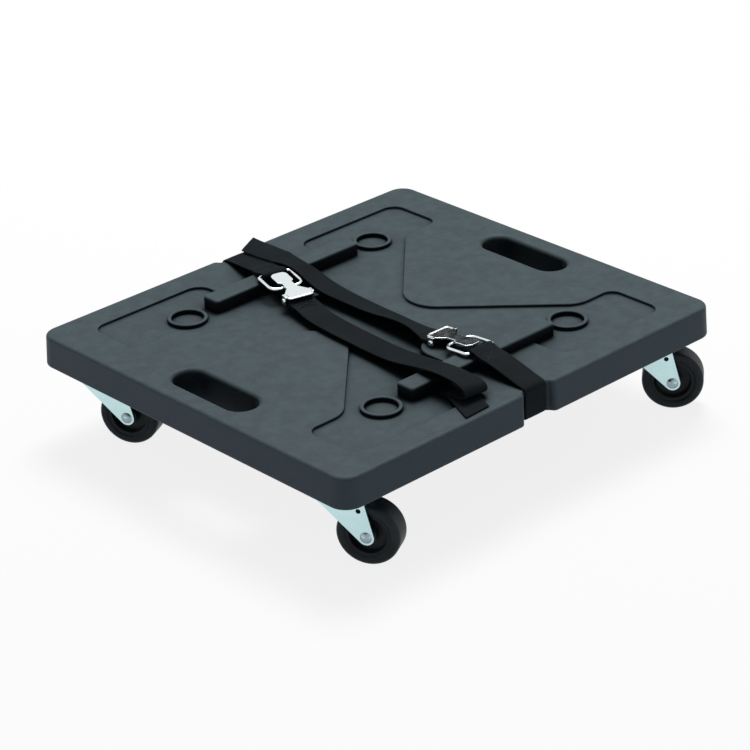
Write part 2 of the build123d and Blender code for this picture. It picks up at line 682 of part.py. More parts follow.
def build_buckle(name, buckle):
    """Make one wire loop and the hook plate with its pin, and write them."""
    side = Plane(buckle.origin, x_dir=buckle.y_dir, z_dir=buckle.x_dir)
    loop_x = LOOP_INNER_WIDTH / 2 + WIRE_RADIUS

    with BuildPart() as loop:
        with BuildLine(buckle) as wire:
            FilletPolyline(
                (-loop_x, LOOP_LENGTH),
                (loop_x, LOOP_LENGTH),
                (loop_x, 0),
                (-loop_x, 0),
                radius=[
                    LOOP_HOOK_CORNER_RADIUS,
                    LOOP_HOOK_CORNER_RADIUS,
                    LOOP_EYE_CORNER_RADIUS,
                    LOOP_EYE_CORNER_RADIUS,
                ],
                close=True,
            )
        with BuildSketch(Plane(wire.line @ 0, z_dir=wire.line % 0)):
            Circle(WIRE_RADIUS)
        sweep()
    save(loop, f"{name}_loop")

    head_end = HOOK_HEAD_INSET + HOOK_HEAD_LENGTH
    neck_start = head_end + HOOK_SHOULDER
    neck_end = neck_start + HOOK_NECK_LENGTH
    with BuildPart() as hook:
        with BuildSketch(buckle.offset(hook_bottom)):
            with BuildLine():
                half = FilletPolyline(
                    (0, HOOK_HEAD_INSET),
                    (HOOK_HEAD_WIDTH / 2, HOOK_HEAD_INSET),
                    (HOOK_HEAD_WIDTH / 2, head_end),
                    (HOOK_NECK_WIDTH / 2, neck_start),
                    (HOOK_NECK_WIDTH / 2, neck_end),
                    (HOOK_TAB_WIDTH / 2, pin_reach - LUG_LENGTH / 2),
                    (HOOK_TAB_WIDTH / 2, pin_reach + HOOK_TAB_LENGTH),
                    (0, pin_reach + HOOK_TAB_LENGTH),
                    radius=[
                        HOOK_HEAD_RADIUS,
                        HOOK_SHOULDER_RADIUS,
                        HOOK_SHOULDER_RADIUS,
                        HOOK_FLARE_RADIUS,
                        HOOK_SHOULDER_RADIUS,
                        HOOK_TAB_RADIUS,
                    ],
                )
                mirror(half, about=Plane.YZ)
            make_face()
            with Locations((0, pin_reach)):
                Rectangle(2 * lug_outer, LUG_LENGTH)
        extrude(amount=HOOK_THICKNESS)
        fillet(hook.faces().sort_by(Axis(buckle.origin, buckle.z_dir))[-1].edges(), HOOK_EDGE_ROUND)
        for way in (-1, 1):
            with BuildSketch(side.offset(way * lug_inner)):
                with Locations((pin_reach, (hook_bottom - pin_drop) / 2)):
                    Rectangle(LUG_LENGTH, hook_bottom + pin_drop)
                with Locations((pin_reach, -pin_drop)):
                    Circle(LUG_LENGTH / 2)
            extrude(amount=way * LUG_THICKNESS)
        with BuildSketch(buckle.offset(hook_bottom)):
            with Locations((0, LOOP_LENGTH - WIRE_RADIUS - HOOK_TOOTH_GAP - HOOK_THICKNESS / 2)):
                Rectangle(HOOK_TOOTH_WIDTH, HOOK_THICKNESS)
        extrude(amount=-HOOK_TOOTH_DEPTH)
        with BuildLine(buckle.offset(hook_bottom + HOOK_RIM_RADIUS)) as rim:
            FilletPolyline(
                (-HOOK_TAB_WIDTH / 2, pin_reach + HOOK_TAB_LENGTH - HOOK_RIM_LENGTH),
                (-HOOK_TAB_WIDTH / 2, pin_reach + HOOK_TAB_LENGTH),
                (HOOK_TAB_WIDTH / 2, pin_reach + HOOK_TAB_LENGTH),
                (HOOK_TAB_WIDTH / 2, pin_reach + HOOK_TAB_LENGTH - HOOK_RIM_LENGTH),
                radius=HOOK_TAB_RADIUS,
            )
        with BuildSketch(Plane(rim.line @ 0, z_dir=rim.line % 0)):
            Circle(HOOK_RIM_RADIUS)
        sweep()
        with BuildSketch(side):
            with Locations((pin_reach, -pin_drop)):
                Circle(PIN_RADIUS + SEAT_FIT)
        extrude(amount=lug_outer, both=True, mode=Mode.SUBTRACT)
    save(hook, f"{name}_hook")

    with BuildPart() as hook_pin:
        with BuildSketch(side):
            with Locations((pin_reach, -pin_drop)):
                Circle(PIN_RADIUS)
        extrude(amount=lug_outer + SEAT_FIT, both=True)
        for way in (-1, 1):
            with BuildSketch(side.offset(way * (lug_outer + SEAT_FIT))):
                with Locations((pin_reach, -pin_drop)):
                    Circle(PIN_BUTTON_RADIUS)
            extrude(amount=way * PIN_BUTTON_HEIGHT)
        ends = hook_pin.faces().sort_by(Axis(buckle.origin, buckle.x_dir))
        fillet([*ends[0].edges(), *ends[-1].edges()], PIN_BUTTON_ROUND)
    save(hook_pin, f"{name}_hook_pin")


build_buckle("back", back_buckle)
build_buckle("front", front_buckle)

# Deck strap: under the deck, up both notches and over the bars, with a sewn eye on each loop
with BuildPart() as deck_strap:
    with BuildSketch(Plane.YZ):
        with BuildLine():
            FilletPolyline(
                back_end.lead_in,
                (strap_upright, back_end.knee_z),
                (strap_upright, strap_under),
                (-strap_upright, strap_under),
                (-strap_upright, front_end.knee_z),
                front_end.lead_in,
                radius=[
                    DECK_TOP_ROUND + STRAP_GAP + STRAP_THICKNESS / 2,
                    STRAP_UNDER_RADIUS,
                    STRAP_UNDER_RADIUS,
                    DECK_TOP_ROUND + STRAP_GAP + STRAP_THICKNESS / 2,
                ],
            )
        trace(line_width=STRAP_THICKNESS)
    extrude(amount=strap_half, both=True)
    for strap_end in (back_end, front_end):
        with BuildSketch(strap_end.plane.offset(-STRAP_THICKNESS / 2)):
            with BuildLine():
                Line((0, 0), (0, -strap_end.turn_start))
                CenterArc((-strap_end.radius, -strap_end.turn_start), strap_end.radius, 0, -strap_end.turn)
                Line(
                    strap_end.turned,
                    plan_point(strap_end.turned, -90 - strap_end.turn, strap_end.crest_run),
                )
            trace(line_width=STRAP_WIDTH)
        extrude(amount=STRAP_THICKNESS)
        with BuildSketch(upright_plane(strap_end.crest, strap_end.heading)):
            with Locations((strap_end.run, loop_eye_height)):
                Circle(loop_eye_radius)
            with Locations((strap_end.run - STRAP_EYE_TAPER, strap_over)):
                Rectangle(STRAP_THICKNESS, STRAP_THICKNESS)
            make_hull()
            with Locations(((strap_end.run - STRAP_EYE_TAPER) / 2, strap_over)):
                Rectangle(strap_end.run - STRAP_EYE_TAPER + 2 * STRAP_THICKNESS, STRAP_THICKNESS)
            with Locations((strap_end.run, loop_eye_height)):
                Circle(WIRE_RADIUS + STRAP_GAP, mode=Mode.SUBTRACT)
        extrude(amount=strap_half, both=True)
save(deck_strap, "deck_strap")


def strap_end_cut(end, heading):
    """Return the plan area past a strap's angled end, which leaves its right side the longer one."""
    cut = STRAP_WIDTH * tan(radians(STRAP_END_ANGLE))
    along = (cos(radians(heading)), sin(radians(heading)), 0)
    with BuildSketch(Plane((end[0], end[1], deck_top), x_dir=along, z_dir=(0, 0, 1))) as past_end:
        with BuildLine():
            Polyline(
                (0, -strap_half),
                (STRAP_THICKNESS, -strap_half),
                (STRAP_THICKNESS, strap_half + STRAP_THICKNESS),
                (-cut, strap_half + STRAP_THICKNESS),
                (-cut, strap_half),
                close=True,
            )
        make_face()
    return past_end.sketch


# Back strap: from the back hook's pin across to the front bar, then folded down onto the deck
back_side = Plane(back_buckle.origin, x_dir=back_buckle.y_dir, z_dir=back_buckle.x_dir)
back_low = back_buckle.from_local_coords((0, pin_reach + STRAP_SLOPE_RUN, -pin_drop))
back_low_plan = (back_low.X, back_low.Y)
back_straight = turn_end(back_low_plan, back_heading, BACK_STRAP_PLAN_RADIUS, BACK_STRAP_TURN)
across_heading = back_heading + BACK_STRAP_TURN
crest_z = deck_top + BACK_STRAP_CREST
crest_run = BACK_STRAP_LOW_RUN + BACK_STRAP_RISE_RUN
curl_run = crest_run + BACK_STRAP_CURL
return_z = strap_flat + STRAP_THICKNESS + BACK_STRAP_LAYER_GAP
fold_run = curl_run - BACK_STRAP_RETURN
fold_middle = plan_point(back_straight, across_heading, fold_run)
tail_heading = across_heading - BACK_STRAP_END_TURN
back_tip = plan_point(fold_middle, tail_heading, BACK_STRAP_END_LENGTH)
back_cut = strap_end_cut(back_tip, tail_heading)
with BuildPart() as back_strap:
    with BuildSketch(back_side):
        with Locations((pin_reach, -pin_drop)):
            Circle(pin_eye_radius)
        with Locations((pin_reach + STRAP_EYE_TAPER, -pin_drop)):
            Rectangle(STRAP_THICKNESS, STRAP_THICKNESS)
        make_hull()
        with Locations((pin_reach + STRAP_SLOPE_RUN / 2 + STRAP_EYE_TAPER / 2, -pin_drop)):
            Rectangle(STRAP_SLOPE_RUN - STRAP_EYE_TAPER + STRAP_THICKNESS, STRAP_THICKNESS)
        with Locations((pin_reach, -pin_drop)):
            Circle(PIN_RADIUS + STRAP_GAP, mode=Mode.SUBTRACT)
    extrude(amount=strap_half, both=True)
    with BuildSketch(Plane.XY.offset(back_low.Z - STRAP_THICKNESS / 2)):
        with BuildLine():
            CenterArc(
                turn_centre(back_low_plan, back_heading, BACK_STRAP_PLAN_RADIUS, BACK_STRAP_TURN),
                BACK_STRAP_PLAN_RADIUS,
                back_heading - 90,
                BACK_STRAP_TURN,
            )
        trace(line_width=STRAP_WIDTH)
    extrude(amount=STRAP_THICKNESS)
    with BuildSketch(upright_plane(back_straight, across_heading)):
        with BuildLine():
            FilletPolyline(
                (-STRAP_THICKNESS / 2, back_low.Z),
                (BACK_STRAP_LOW_RUN, back_low.Z),
                (crest_run, crest_z),
                (curl_run, crest_z),
                radius=STRAP_BEND_RADIUS,
            )
            CenterArc((curl_run, (crest_z + return_z) / 2), (crest_z - return_z) / 2, 90, -180)
            Line((curl_run, return_z), (fold_run, return_z))
            CenterArc((fold_run, (return_z + strap_flat) / 2), (return_z - strap_flat) / 2, 90, 180)
            Line((fold_run, strap_flat), (fold_run + STRAP_THICKNESS, strap_flat))
        trace(line_width=STRAP_THICKNESS)
    extrude(amount=strap_half, both=True)
    with BuildSketch(Plane.XY.offset(deck_top + STRAP_GAP)):
        with BuildLine():
            Line(fold_middle, back_tip)
        trace(line_width=STRAP_WIDTH)
    extrude(amount=STRAP_THICKNESS)
    extrude(back_cut, amount=return_z - strap_flat, mode=Mode.SUBTRACT)
save(back_strap, "back_strap")

# Front strap: from the front hook's pin across to the back bar, over the back loop and out past the edge
front_side = Plane(front_buckle.origin, x_dir=front_buckle.y_dir, z_dir=front_buckle.x_dir)
front_low = front_buckle.from_local_coords((0, pin_reach + STRAP_SLOPE_RUN, -pin_drop))
front_low_plan = (front_low.X, front_low.Y)
front_straight = turn_end(front_low_plan, front_heading, FRONT_STRAP_PLAN_RADIUS, -FRONT_STRAP_TURN)
straight_heading = front_heading - FRONT_STRAP_TURN
bar_run = (cup_y - BAR_WIDTH / 2 - front_straight[1]) / sin(radians(straight_heading))
high_run = bar_run - FRONT_STRAP_RISE_LEAD
bar_point = plan_point(front_straight, straight_heading, bar_run)
fall_start = turn_end(bar_point, straight_heading, FRONT_STRAP_BAR_RADIUS, -FRONT_STRAP_BAR_TURN)
fall_heading = straight_heading - FRONT_STRAP_BAR_TURN
front_tip = plan_point(fall_start, fall_heading, FRONT_STRAP_FALL_RUN)
front_cut = strap_end_cut(front_tip, fall_heading)
with BuildPart() as front_strap:
    with BuildSketch(front_side):
        with Locations((pin_reach, -pin_drop)):
            Circle(pin_eye_radius)
        with Locations((pin_reach + STRAP_EYE_TAPER, -pin_drop)):
            Rectangle(STRAP_THICKNESS, STRAP_THICKNESS)
        make_hull()
        with Locations((pin_reach + STRAP_SLOPE_RUN / 2 + STRAP_EYE_TAPER / 2, -pin_drop)):
            Rectangle(STRAP_SLOPE_RUN - STRAP_EYE_TAPER + STRAP_THICKNESS, STRAP_THICKNESS)
        with Locations((pin_reach, -pin_drop)):
            Circle(PIN_RADIUS + STRAP_GAP, mode=Mode.SUBTRACT)
    extrude(amount=strap_half, both=True)
    with BuildSketch(Plane.XY.offset(front_low.Z - STRAP_THICKNESS / 2)):
        with BuildLine():
            CenterArc(
                turn_centre(front_low_plan, front_heading, FRONT_STRAP_PLAN_RADIUS, -FRONT_STRAP_TURN),
                FRONT_STRAP_PLAN_RADIUS,
                front_heading + 90,
                -FRONT_STRAP_TURN,
            )
        trace(line_width=STRAP_WIDTH)
    extrude(amount=STRAP_THICKNESS)
    with BuildSketch(upright_plane(front_straight, straight_heading)):
        with BuildLine():
            FilletPolyline(
                (-STRAP_THICKNESS / 2, front_low.Z),
                (high_run - FRONT_STRAP_RISE_RUN, front_low.Z),
                (high_run, strap_over_loop),
                (bar_run + STRAP_THICKNESS / 2, strap_over_loop),
                radius=STRAP_BEND_RADIUS,
            )
        trace(line_width=STRAP_THICKNESS)
    extrude(amount=strap_half, both=True)
    with BuildSketch(Plane.XY.offset(strap_over_loop - STRAP_THICKNESS / 2)):
        with BuildLine():
            CenterArc(
                turn_centre(bar_point, straight_heading, FRONT_STRAP_BAR_RADIUS, -FRONT_STRAP_BAR_TURN),
                FRONT_STRAP_BAR_RADIUS,
                straight_heading + 90,
                -FRONT_STRAP_BAR_TURN,
            )
        trace(line_width=STRAP_WIDTH)
    extrude(amount=STRAP_THICKNESS)
    with BuildSketch(upright_plane(fall_start, fall_heading)):
        with BuildLine():
            FilletPolyline(
                (-STRAP_THICKNESS / 2, strap_over_loop),
                (FRONT_STRAP_LEVEL_RUN, strap_over_loop),
                (FRONT_STRAP_FALL_RUN, strap_over_loop - FRONT_STRAP_FALL),
                radius=STRAP_BEND_RADIUS,
            )
        trace(line_width=STRAP_THICKNESS)
    extrude(amount=strap_half, both=True)
    extrude(front_cut, amount=strap_over_loop - deck_top, mode=Mode.SUBTRACT)
save(front_strap, "front_strap")
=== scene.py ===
import logging
import math
from bisect import bisect_right
from dataclasses import dataclass, field
from enum import Enum
from typing import Any, Iterable, Optional, Sequence

import bpy
from mathutils import Matrix, Vector


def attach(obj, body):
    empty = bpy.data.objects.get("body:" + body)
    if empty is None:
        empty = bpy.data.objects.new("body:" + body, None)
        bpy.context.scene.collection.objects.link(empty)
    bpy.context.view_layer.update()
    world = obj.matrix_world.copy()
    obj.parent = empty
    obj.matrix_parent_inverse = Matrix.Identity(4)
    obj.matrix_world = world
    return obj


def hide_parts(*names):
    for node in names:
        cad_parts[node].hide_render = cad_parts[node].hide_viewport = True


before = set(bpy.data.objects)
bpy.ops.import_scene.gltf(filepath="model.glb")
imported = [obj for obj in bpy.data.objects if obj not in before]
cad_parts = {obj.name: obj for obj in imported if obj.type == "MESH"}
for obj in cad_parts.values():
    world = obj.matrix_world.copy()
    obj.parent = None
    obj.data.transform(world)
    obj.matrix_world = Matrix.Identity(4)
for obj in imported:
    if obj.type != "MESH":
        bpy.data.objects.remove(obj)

Colour = tuple[float, float, float, float]
Point = tuple[float, float, float]
Spot = tuple[float, float]

LOG = logging.getLogger("caster_board")
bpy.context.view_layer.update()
MM = 0.001
# The wave texture turns this far in a metre at scale 1.
WAVE_RADIANS = 20.0
# A colour mix's sockets, by number: its factor, its two colours and what it gives.
FACTOR, LOW, HIGH, MIXED = 0, 6, 7, 2
# Most of a noise texture's values lie between these.
NOISE_LOW, NOISE_HIGH = 0.3, 0.7
# Degrees round a wire or pin, from straight down to straight up.
HALF_TURN = (-90, -45, 0, 45, 90)
# Degrees round a strap's selvedge, from its top to its underside.
SELVEDGE = (45, 90, 135)
# Neighbours on a line that are nearer than this count as this far apart.
SHORTEST = 1e-6


class Corner(Enum):
    """The deck's four corners, by the name that starts their nodes."""

    FRONT_LEFT = "front_left"
    FRONT_RIGHT = "front_right"
    BACK_LEFT = "back_left"
    BACK_RIGHT = "back_right"


class End(Enum):
    """The two ends of the tie-down."""

    BACK = "back"
    FRONT = "front"


class Hold(Enum):
    """How a strap is held."""

    STRETCHED = "stretched"
    LAID = "laid"
    FOLDED = "folded"


def linear(colour: str, alpha: float = 1.0) -> Colour:
    """Turn an sRGB hex colour into linear light.

    Args:
        colour: the colour as "#rrggbb".
        alpha: the fourth value.

    Returns:
        Red, green and blue in linear light, and alpha.
    """
    levels = [int(colour[i : i + 2], 16) / 255 for i in (1, 3, 5)]
    r, g, b = [v / 12.92 if v <= 0.04045 else ((v + 0.055) / 1.055) ** 2.4 for v in levels]
    return (r, g, b, alpha)


def per_metre(size_mm: float) -> float:
    """Return how many features of a size in millimetres fit in a metre."""
    return 1000.0 / size_mm


def wave_scale(period_mm: float) -> float:
    """Return the wave texture's scale for a period in millimetres."""
    return per_metre(period_mm) * math.tau / WAVE_RADIANS


def set_inputs(
    tree: bpy.types.NodeTree,
    node: bpy.types.Node,
    values: Optional[dict[Any, Any]] = None,
    links: Optional[dict[Any, bpy.types.NodeSocket]] = None,
) -> None:
    """Set and link a node's inputs.

    Args:
        tree: the node's tree.
        node: the node.
        values: values for input sockets, by name or number.
        links: output sockets to link to input sockets, by name or number.
    """
    for socket, value in (values or {}).items():
        node.inputs[socket].default_value = value
    for socket, source in (links or {}).items():
        tree.links.new(source, node.inputs[socket])


def add_node(
    tree: bpy.types.NodeTree,
    kind: str,
    values: Optional[dict[Any, Any]] = None,
    links: Optional[dict[Any, bpy.types.NodeSocket]] = None,
    **settings: Any,
) -> bpy.types.Node:
    """Add one node, set it and link it.

    Args:
        tree: the node tree that gets the node.
        kind: the node's type name.
        values: values for input sockets, by name or number.
        links: output sockets to link to input sockets, by name or number.
        settings: the node's own settings.

    Returns:
        The new node.
    """
    node = tree.nodes.new(kind)
    for name, setting in settings.items():
        setattr(node, name, setting)
    set_inputs(tree, node, values, links)
    return node


def blank_material(name: str) -> tuple[bpy.types.Material, bpy.types.NodeTree, bpy.types.Node]:
    """Make a material that holds one principled shader.

    Args:
        name: the material's name.

    Returns:
        The material, its node tree and its shader.
    """
    material = bpy.data.materials.new(name)
    material.use_nodes = True
    tree = material.node_tree
    tree.nodes.clear()
    shader = add_node(tree, "ShaderNodeBsdfPrincipled")
    add_node(tree, "ShaderNodeOutputMaterial", links={"Surface": shader.outputs["BSDF"]})
    return material, tree, shader


def seen_directly(tree: bpy.types.NodeTree) -> bpy.types.NodeSocket:
    """Tell rays that show the background from those that only carry its light.

    Args:
        tree: the node tree.

    Returns:
        A socket that is 1 for rays from the camera, mirrors and glass, else 0.
    """
    rays = add_node(tree, "ShaderNodeLightPath")
    level = rays.outputs["Is Camera Ray"]
    for name in ("Is Glossy Ray", "Is Transmission Ray"):
        both = {0: level, 1: rays.outputs[name]}
        level = add_node(tree, "ShaderNodeMath", links=both, operation="MAXIMUM").outputs[0]
    return level


@dataclass(frozen=True)
class MouldedPolyethylene:
    """Black polyethylene, blow moulded in a grained tool.

    The grain breaks up its highlights, so it looks satin and faintly mottled. Its sides are
    painted darker than its top as painted shade, its raised edges are painted paler as part wear
    and part painted highlight, and its hollows are painted dark as painted shade.
    """

    name: str = "polyethylene_blow_moulded"
    body: str = "#465054"
    cloud: str = "#4d595d"
    # Painted shade: the colour of faces that turn away from straight up.
    side_shade: str = "#3b444b"
    # Pale edge colour, partly rubbed wear and partly a painted highlight.
    edge_wear_and_highlight: str = "#74858a"
    # Painted shade for hollows, the feet of ribs and the deck round the straps.
    painted_shade: str = "#0f1315"
    sheen_tint: str = "#dbf1fb"
    cloud_mm: float = 16.0
    cloud_from: float = 0.35
    cloud_to: float = 0.65
    lit_above: float = 0.75
    shaded_below: float = 0.3
    edge_mm: float = 2.5
    edge_from: float = 0.995
    edge_to: float = 0.86
    edge_share: float = 0.7
    shade_reach_mm: float = 70.0
    shade_from: float = 0.93
    shade_to: float = 0.5
    shade_share: float = 0.95
    scuff_mm: float = 26.0
    scuff_stretch: Point = (0.22, 1.0, 1.0)
    roughness: float = 0.46
    polished: float = 0.05
    scratched: float = 0.06
    grain_mm: float = 2.4
    grain_strength: float = 0.16
    grain_depth_mm: float = 0.6
    specular: float = 0.07
    ior: float = 1.51

    def make(self) -> bpy.types.Material:
        """Make the finish.

        Returns:
            The material.
        """
        material, tree, shader = blank_material(self.name)
        coordinates = add_node(tree, "ShaderNodeTexCoord")
        place = coordinates.outputs["Object"]
        cloud = add_node(
            tree,
            "ShaderNodeTexNoise",
            {"Scale": per_metre(self.cloud_mm), "Detail": 4.0, "Roughness": 0.6},
            {"Vector": place},
        )
        mottle = add_node(
            tree,
            "ShaderNodeMapRange",
            {"From Min": self.cloud_from, "From Max": self.cloud_to},
            {"Value": cloud.outputs[0]},
        )
        mottled = add_node(
            tree,
            "ShaderNodeMix",
            {LOW: linear(self.body), HIGH: linear(self.cloud)},
            {FACTOR: mottle.outputs[0]},
            data_type="RGBA",
        )
        # Painted shade: faces that turn away from straight up are painted darker than the top,
        # because less light falls on them.
        facing = add_node(tree, "ShaderNodeSeparateXYZ", links={0: coordinates.outputs["Normal"]})
        side_shade_mask = add_node(
            tree,
            "ShaderNodeMapRange",
            {"From Min": self.lit_above, "From Max": self.shaded_below},
            {"Value": facing.outputs["Z"]},
        )
        side_darkened = add_node(
            tree,
            "ShaderNodeMix",
            {HIGH: linear(self.side_shade)},
            {FACTOR: side_shade_mask.outputs[0], LOW: mottled.outputs[MIXED]},
            data_type="RGBA",
        )
        # Corners are painted pale where the rounded normal leaves the true one, partly as rubbed
        # wear and partly as a painted highlight along the rounded edges.
        soft = add_node(tree, "ShaderNodeBevel", {"Radius": self.edge_mm * MM}, samples=6)
        true = add_node(tree, "ShaderNodeNewGeometry")
        turn = add_node(
            tree,
            "ShaderNodeVectorMath",
            links={0: soft.outputs[0], 1: true.outputs["Normal"]},
            operation="DOT_PRODUCT",
        )
        edge = add_node(
            tree,
            "ShaderNodeMapRange",
            {"From Min": self.edge_from, "From Max": self.edge_to, "To Max": self.edge_share},
            {"Value": turn.outputs["Value"]},
        )
        edge_worn_and_highlit = add_node(
            tree,
            "ShaderNodeMix",
            {HIGH: linear(self.edge_wear_and_highlight)},
            {FACTOR: edge.outputs[0], LOW: side_darkened.outputs[MIXED]},
            data_type="RGBA",
        )
        # Painted shade: hollows, the feet of ribs and the deck round the straps are painted dark
        # and made dull where occlusion finds them.
        reach = {"Distance": self.shade_reach_mm * MM}
        hollow = add_node(tree, "ShaderNodeAmbientOcclusion", reach, samples=8)
        shade_mask = add_node(
            tree,
            "ShaderNodeMapRange",
            {"From Min": self.shade_from, "From Max": self.shade_to, "To Max": self.shade_share},
            {"Value": hollow.outputs["AO"]},
        )
        shade_darkened = add_node(
            tree,
            "ShaderNodeMix",
            {HIGH: linear(self.painted_shade)},
            {FACTOR: shade_mask.outputs[0], LOW: edge_worn_and_highlit.outputs[MIXED]},
            data_type="RGBA",
        )
        shade_dulled_specular = add_node(
            tree,
            "ShaderNodeMapRange",
            {"To Min": self.specular, "To Max": 0.0},
            {"Value": shade_mask.outputs[0]},
        )
        # Long faint scuffs come from cases dragged along the deck.
        drag = add_node(tree, "ShaderNodeMapping", {"Scale": self.scuff_stretch}, {"Vector": place})
        scuff = add_node(
            tree,
            "ShaderNodeTexNoise",
            {"Scale": per_metre(self.scuff_mm), "Detail": 6.0, "Roughness": 0.7},
            {"Vector": drag.outputs[0]},
        )
        shine = add_node(
            tree,
            "ShaderNodeMapRange",
            {
                "From Min": NOISE_LOW,
                "From Max": NOISE_HIGH,
                "To Min": self.roughness - self.polished,
                "To Max": self.roughness + self.scratched,
            },
            {"Value": scuff.outputs[0]},
        )
        # The tool's grain is about 0.8 mm and is drawn at three times that to show.
        grain = add_node(
            tree,
            "ShaderNodeTexNoise",
            {"Scale": per_metre(self.grain_mm), "Detail": 2.0},
            {"Vector": place},
        )
        relief = add_node(
            tree,
            "ShaderNodeBump",
            {"Strength": self.grain_strength, "Distance": self.grain_depth_mm * MM},
            {"Height": grain.outputs[0]},
        )
        set_inputs(
            tree,
            shader,
            {"Specular Tint": linear(self.sheen_tint), "IOR": self.ior},
            {
                "Base Color": shade_darkened.outputs[MIXED],
                "Roughness": shine.outputs[0],
                "Normal": relief.outputs[0],
                "Specular IOR Level": shade_dulled_specular.outputs[0],
            },
        )
        return material


@dataclass(frozen=True)
class WovenPolyester:
    """Black polyester webbing, woven on a needle loom and heat set.

    Flat ribs run along it and the weft crosses them as fine ticks, so it looks matt and finely
    lined.
    """

    name: str = "polyester_woven_webbing"
    yarn: str = "#111518"
    pale: str = "#1c2226"
    rib_mm: float = 2.9
    rib_waver: float = 0.3
    pick_mm: float = 2.2
    pick_waver: float = 0.4
    fade_mm: float = 45.0
    weave_share: float = 0.6
    pale_from: float = 0.3
    pale_to: float = 1.0
    weave_strength: float = 0.35
    weave_depth_mm: float = 0.5
    roughness: float = 0.62
    specular: float = 0.03

    def make(self) -> bpy.types.Material:
        """Make the finish.

        Returns:
            The material.
        """
        material, tree, shader = blank_material(self.name)
        lay = add_node(tree, "ShaderNodeUVMap", uv_map="lay").outputs[0]
        # Ribs and picks are 1.4 and 1.1 mm apart and are drawn at twice that to show.
        ribs = add_node(
            tree,
            "ShaderNodeTexWave",
            {"Scale": wave_scale(self.rib_mm), "Distortion": self.rib_waver, "Detail": 0.0},
            {"Vector": lay},
            bands_direction="Y",
        )
        picks = add_node(
            tree,
            "ShaderNodeTexWave",
            {"Scale": wave_scale(self.pick_mm), "Distortion": self.pick_waver, "Detail": 0.0},
            {"Vector": lay},
            bands_direction="DIAGONAL",
        )
        weave = add_node(
            tree,
            "ShaderNodeMath",
            links={0: ribs.outputs["Fac"], 1: picks.outputs["Fac"]},
            operation="MULTIPLY",
        )
        fade = add_node(
            tree,
            "ShaderNodeTexNoise",
            {"Scale": per_metre(self.fade_mm), "Detail": 4.0},
            {"Vector": lay},
        )
        blend = add_node(
            tree,
            "ShaderNodeMath",
            {1: self.weave_share},
            {0: weave.outputs[0], 2: fade.outputs[0]},
            operation="MULTIPLY_ADD",
        )
        level = add_node(
            tree,
            "ShaderNodeMapRange",
            {"From Min": self.pale_from, "From Max": self.pale_to},
            {"Value": blend.outputs[0]},
        )
        tone = add_node(
            tree,
            "ShaderNodeMix",
            {LOW: linear(self.yarn), HIGH: linear(self.pale)},
            {FACTOR: level.outputs[0]},
            data_type="RGBA",
        )
        relief = add_node(
            tree,
            "ShaderNodeBump",
            {"Strength": self.weave_strength, "Distance": self.weave_depth_mm * MM},
            {"Height": weave.outputs[0]},
        )
        set_inputs(
            tree,
            shader,
            {"Roughness": self.roughness, "Specular IOR Level": self.specular},
            {"Base Color": tone.outputs[MIXED], "Normal": relief.outputs[0]},
        )
        return material


@dataclass(frozen=True)
class SewingThread:
    """Bonded polyester thread, twisted from three plies.

    It looks a little glossier than the webbing under it.
    """

    name: str = "polyester_bonded_thread"
    thread: str = "#181d20"
    pale: str = "#282f33"
    ply_mm: float = 0.9
    ply_waver: float = 0.6
    roughness: float = 0.42
    specular: float = 0.1

    def make(self) -> bpy.types.Material:
        """Make the finish.

        Returns:
            The material.
        """
        material, tree, shader = blank_material(self.name)
        place = add_node(tree, "ShaderNodeTexCoord").outputs["Object"]
        plies = add_node(
            tree,
            "ShaderNodeTexWave",
            {"Scale": wave_scale(self.ply_mm), "Distortion": self.ply_waver},
            {"Vector": place},
            bands_direction="DIAGONAL",
        )
        tone = add_node(
            tree,
            "ShaderNodeMix",
            {LOW: linear(self.thread), HIGH: linear(self.pale)},
            {FACTOR: plies.outputs["Fac"]},
            data_type="RGBA",
        )
        set_inputs(
            tree,
            shader,
            {"Roughness": self.roughness, "Specular IOR Level": self.specular},
            {"Base Color": tone.outputs[MIXED]},
        )
        return material


@dataclass(frozen=True)
class WorkedMetal:
    """Metal with a plated or turned skin.

    The skin keeps faint tool lines and a cloudy bloom, which roughen its reflections in patches.
    """

    name: str
    metal: str
    bloom: str
    roughness: float
    bloom_mm: float
    line_mm: float
    line_strength: float
    line_depth_mm: float = 0.2
    line_stretch: Point = (0.06, 0.06, 1.0)
    spread: float = 0.08

    def make(self) -> bpy.types.Material:
        """Make the finish.

        Returns:
            The material.
        """
        material, tree, shader = blank_material(self.name)
        place = add_node(tree, "ShaderNodeTexCoord").outputs["Object"]
        bloom = add_node(
            tree,
            "ShaderNodeTexNoise",
            {"Scale": per_metre(self.bloom_mm), "Detail": 5.0, "Roughness": 0.65},
            {"Vector": place},
        )
        tone = add_node(
            tree,
            "ShaderNodeMix",
            {LOW: linear(self.metal), HIGH: linear(self.bloom)},
            {FACTOR: bloom.outputs[0]},
            data_type="RGBA",
        )
        shine = add_node(
            tree,
            "ShaderNodeMapRange",
            {
                "From Min": NOISE_LOW,
                "From Max": NOISE_HIGH,
                "To Min": self.roughness,
                "To Max": self.roughness + self.spread,
            },
            {"Value": bloom.outputs[0]},
        )
        drawn = add_node(tree, "ShaderNodeMapping", {"Scale": self.line_stretch}, {"Vector": place})
        lines = add_node(
            tree,
            "ShaderNodeTexNoise",
            {"Scale": per_metre(self.line_mm), "Detail": 2.0},
            {"Vector": drawn.outputs[0]},
        )
        relief = add_node(
            tree,
            "ShaderNodeBump",
            {"Strength": self.line_strength, "Distance": self.line_depth_mm * MM},
            {"Height": lines.outputs[0]},
        )
        set_inputs(
            tree,
            shader,
            {"Metallic": 1.0},
            {
                "Base Color": tone.outputs[MIXED],
                "Roughness": shine.outputs[0],
                "Normal": relief.outputs[0],
            },
        )
        return material


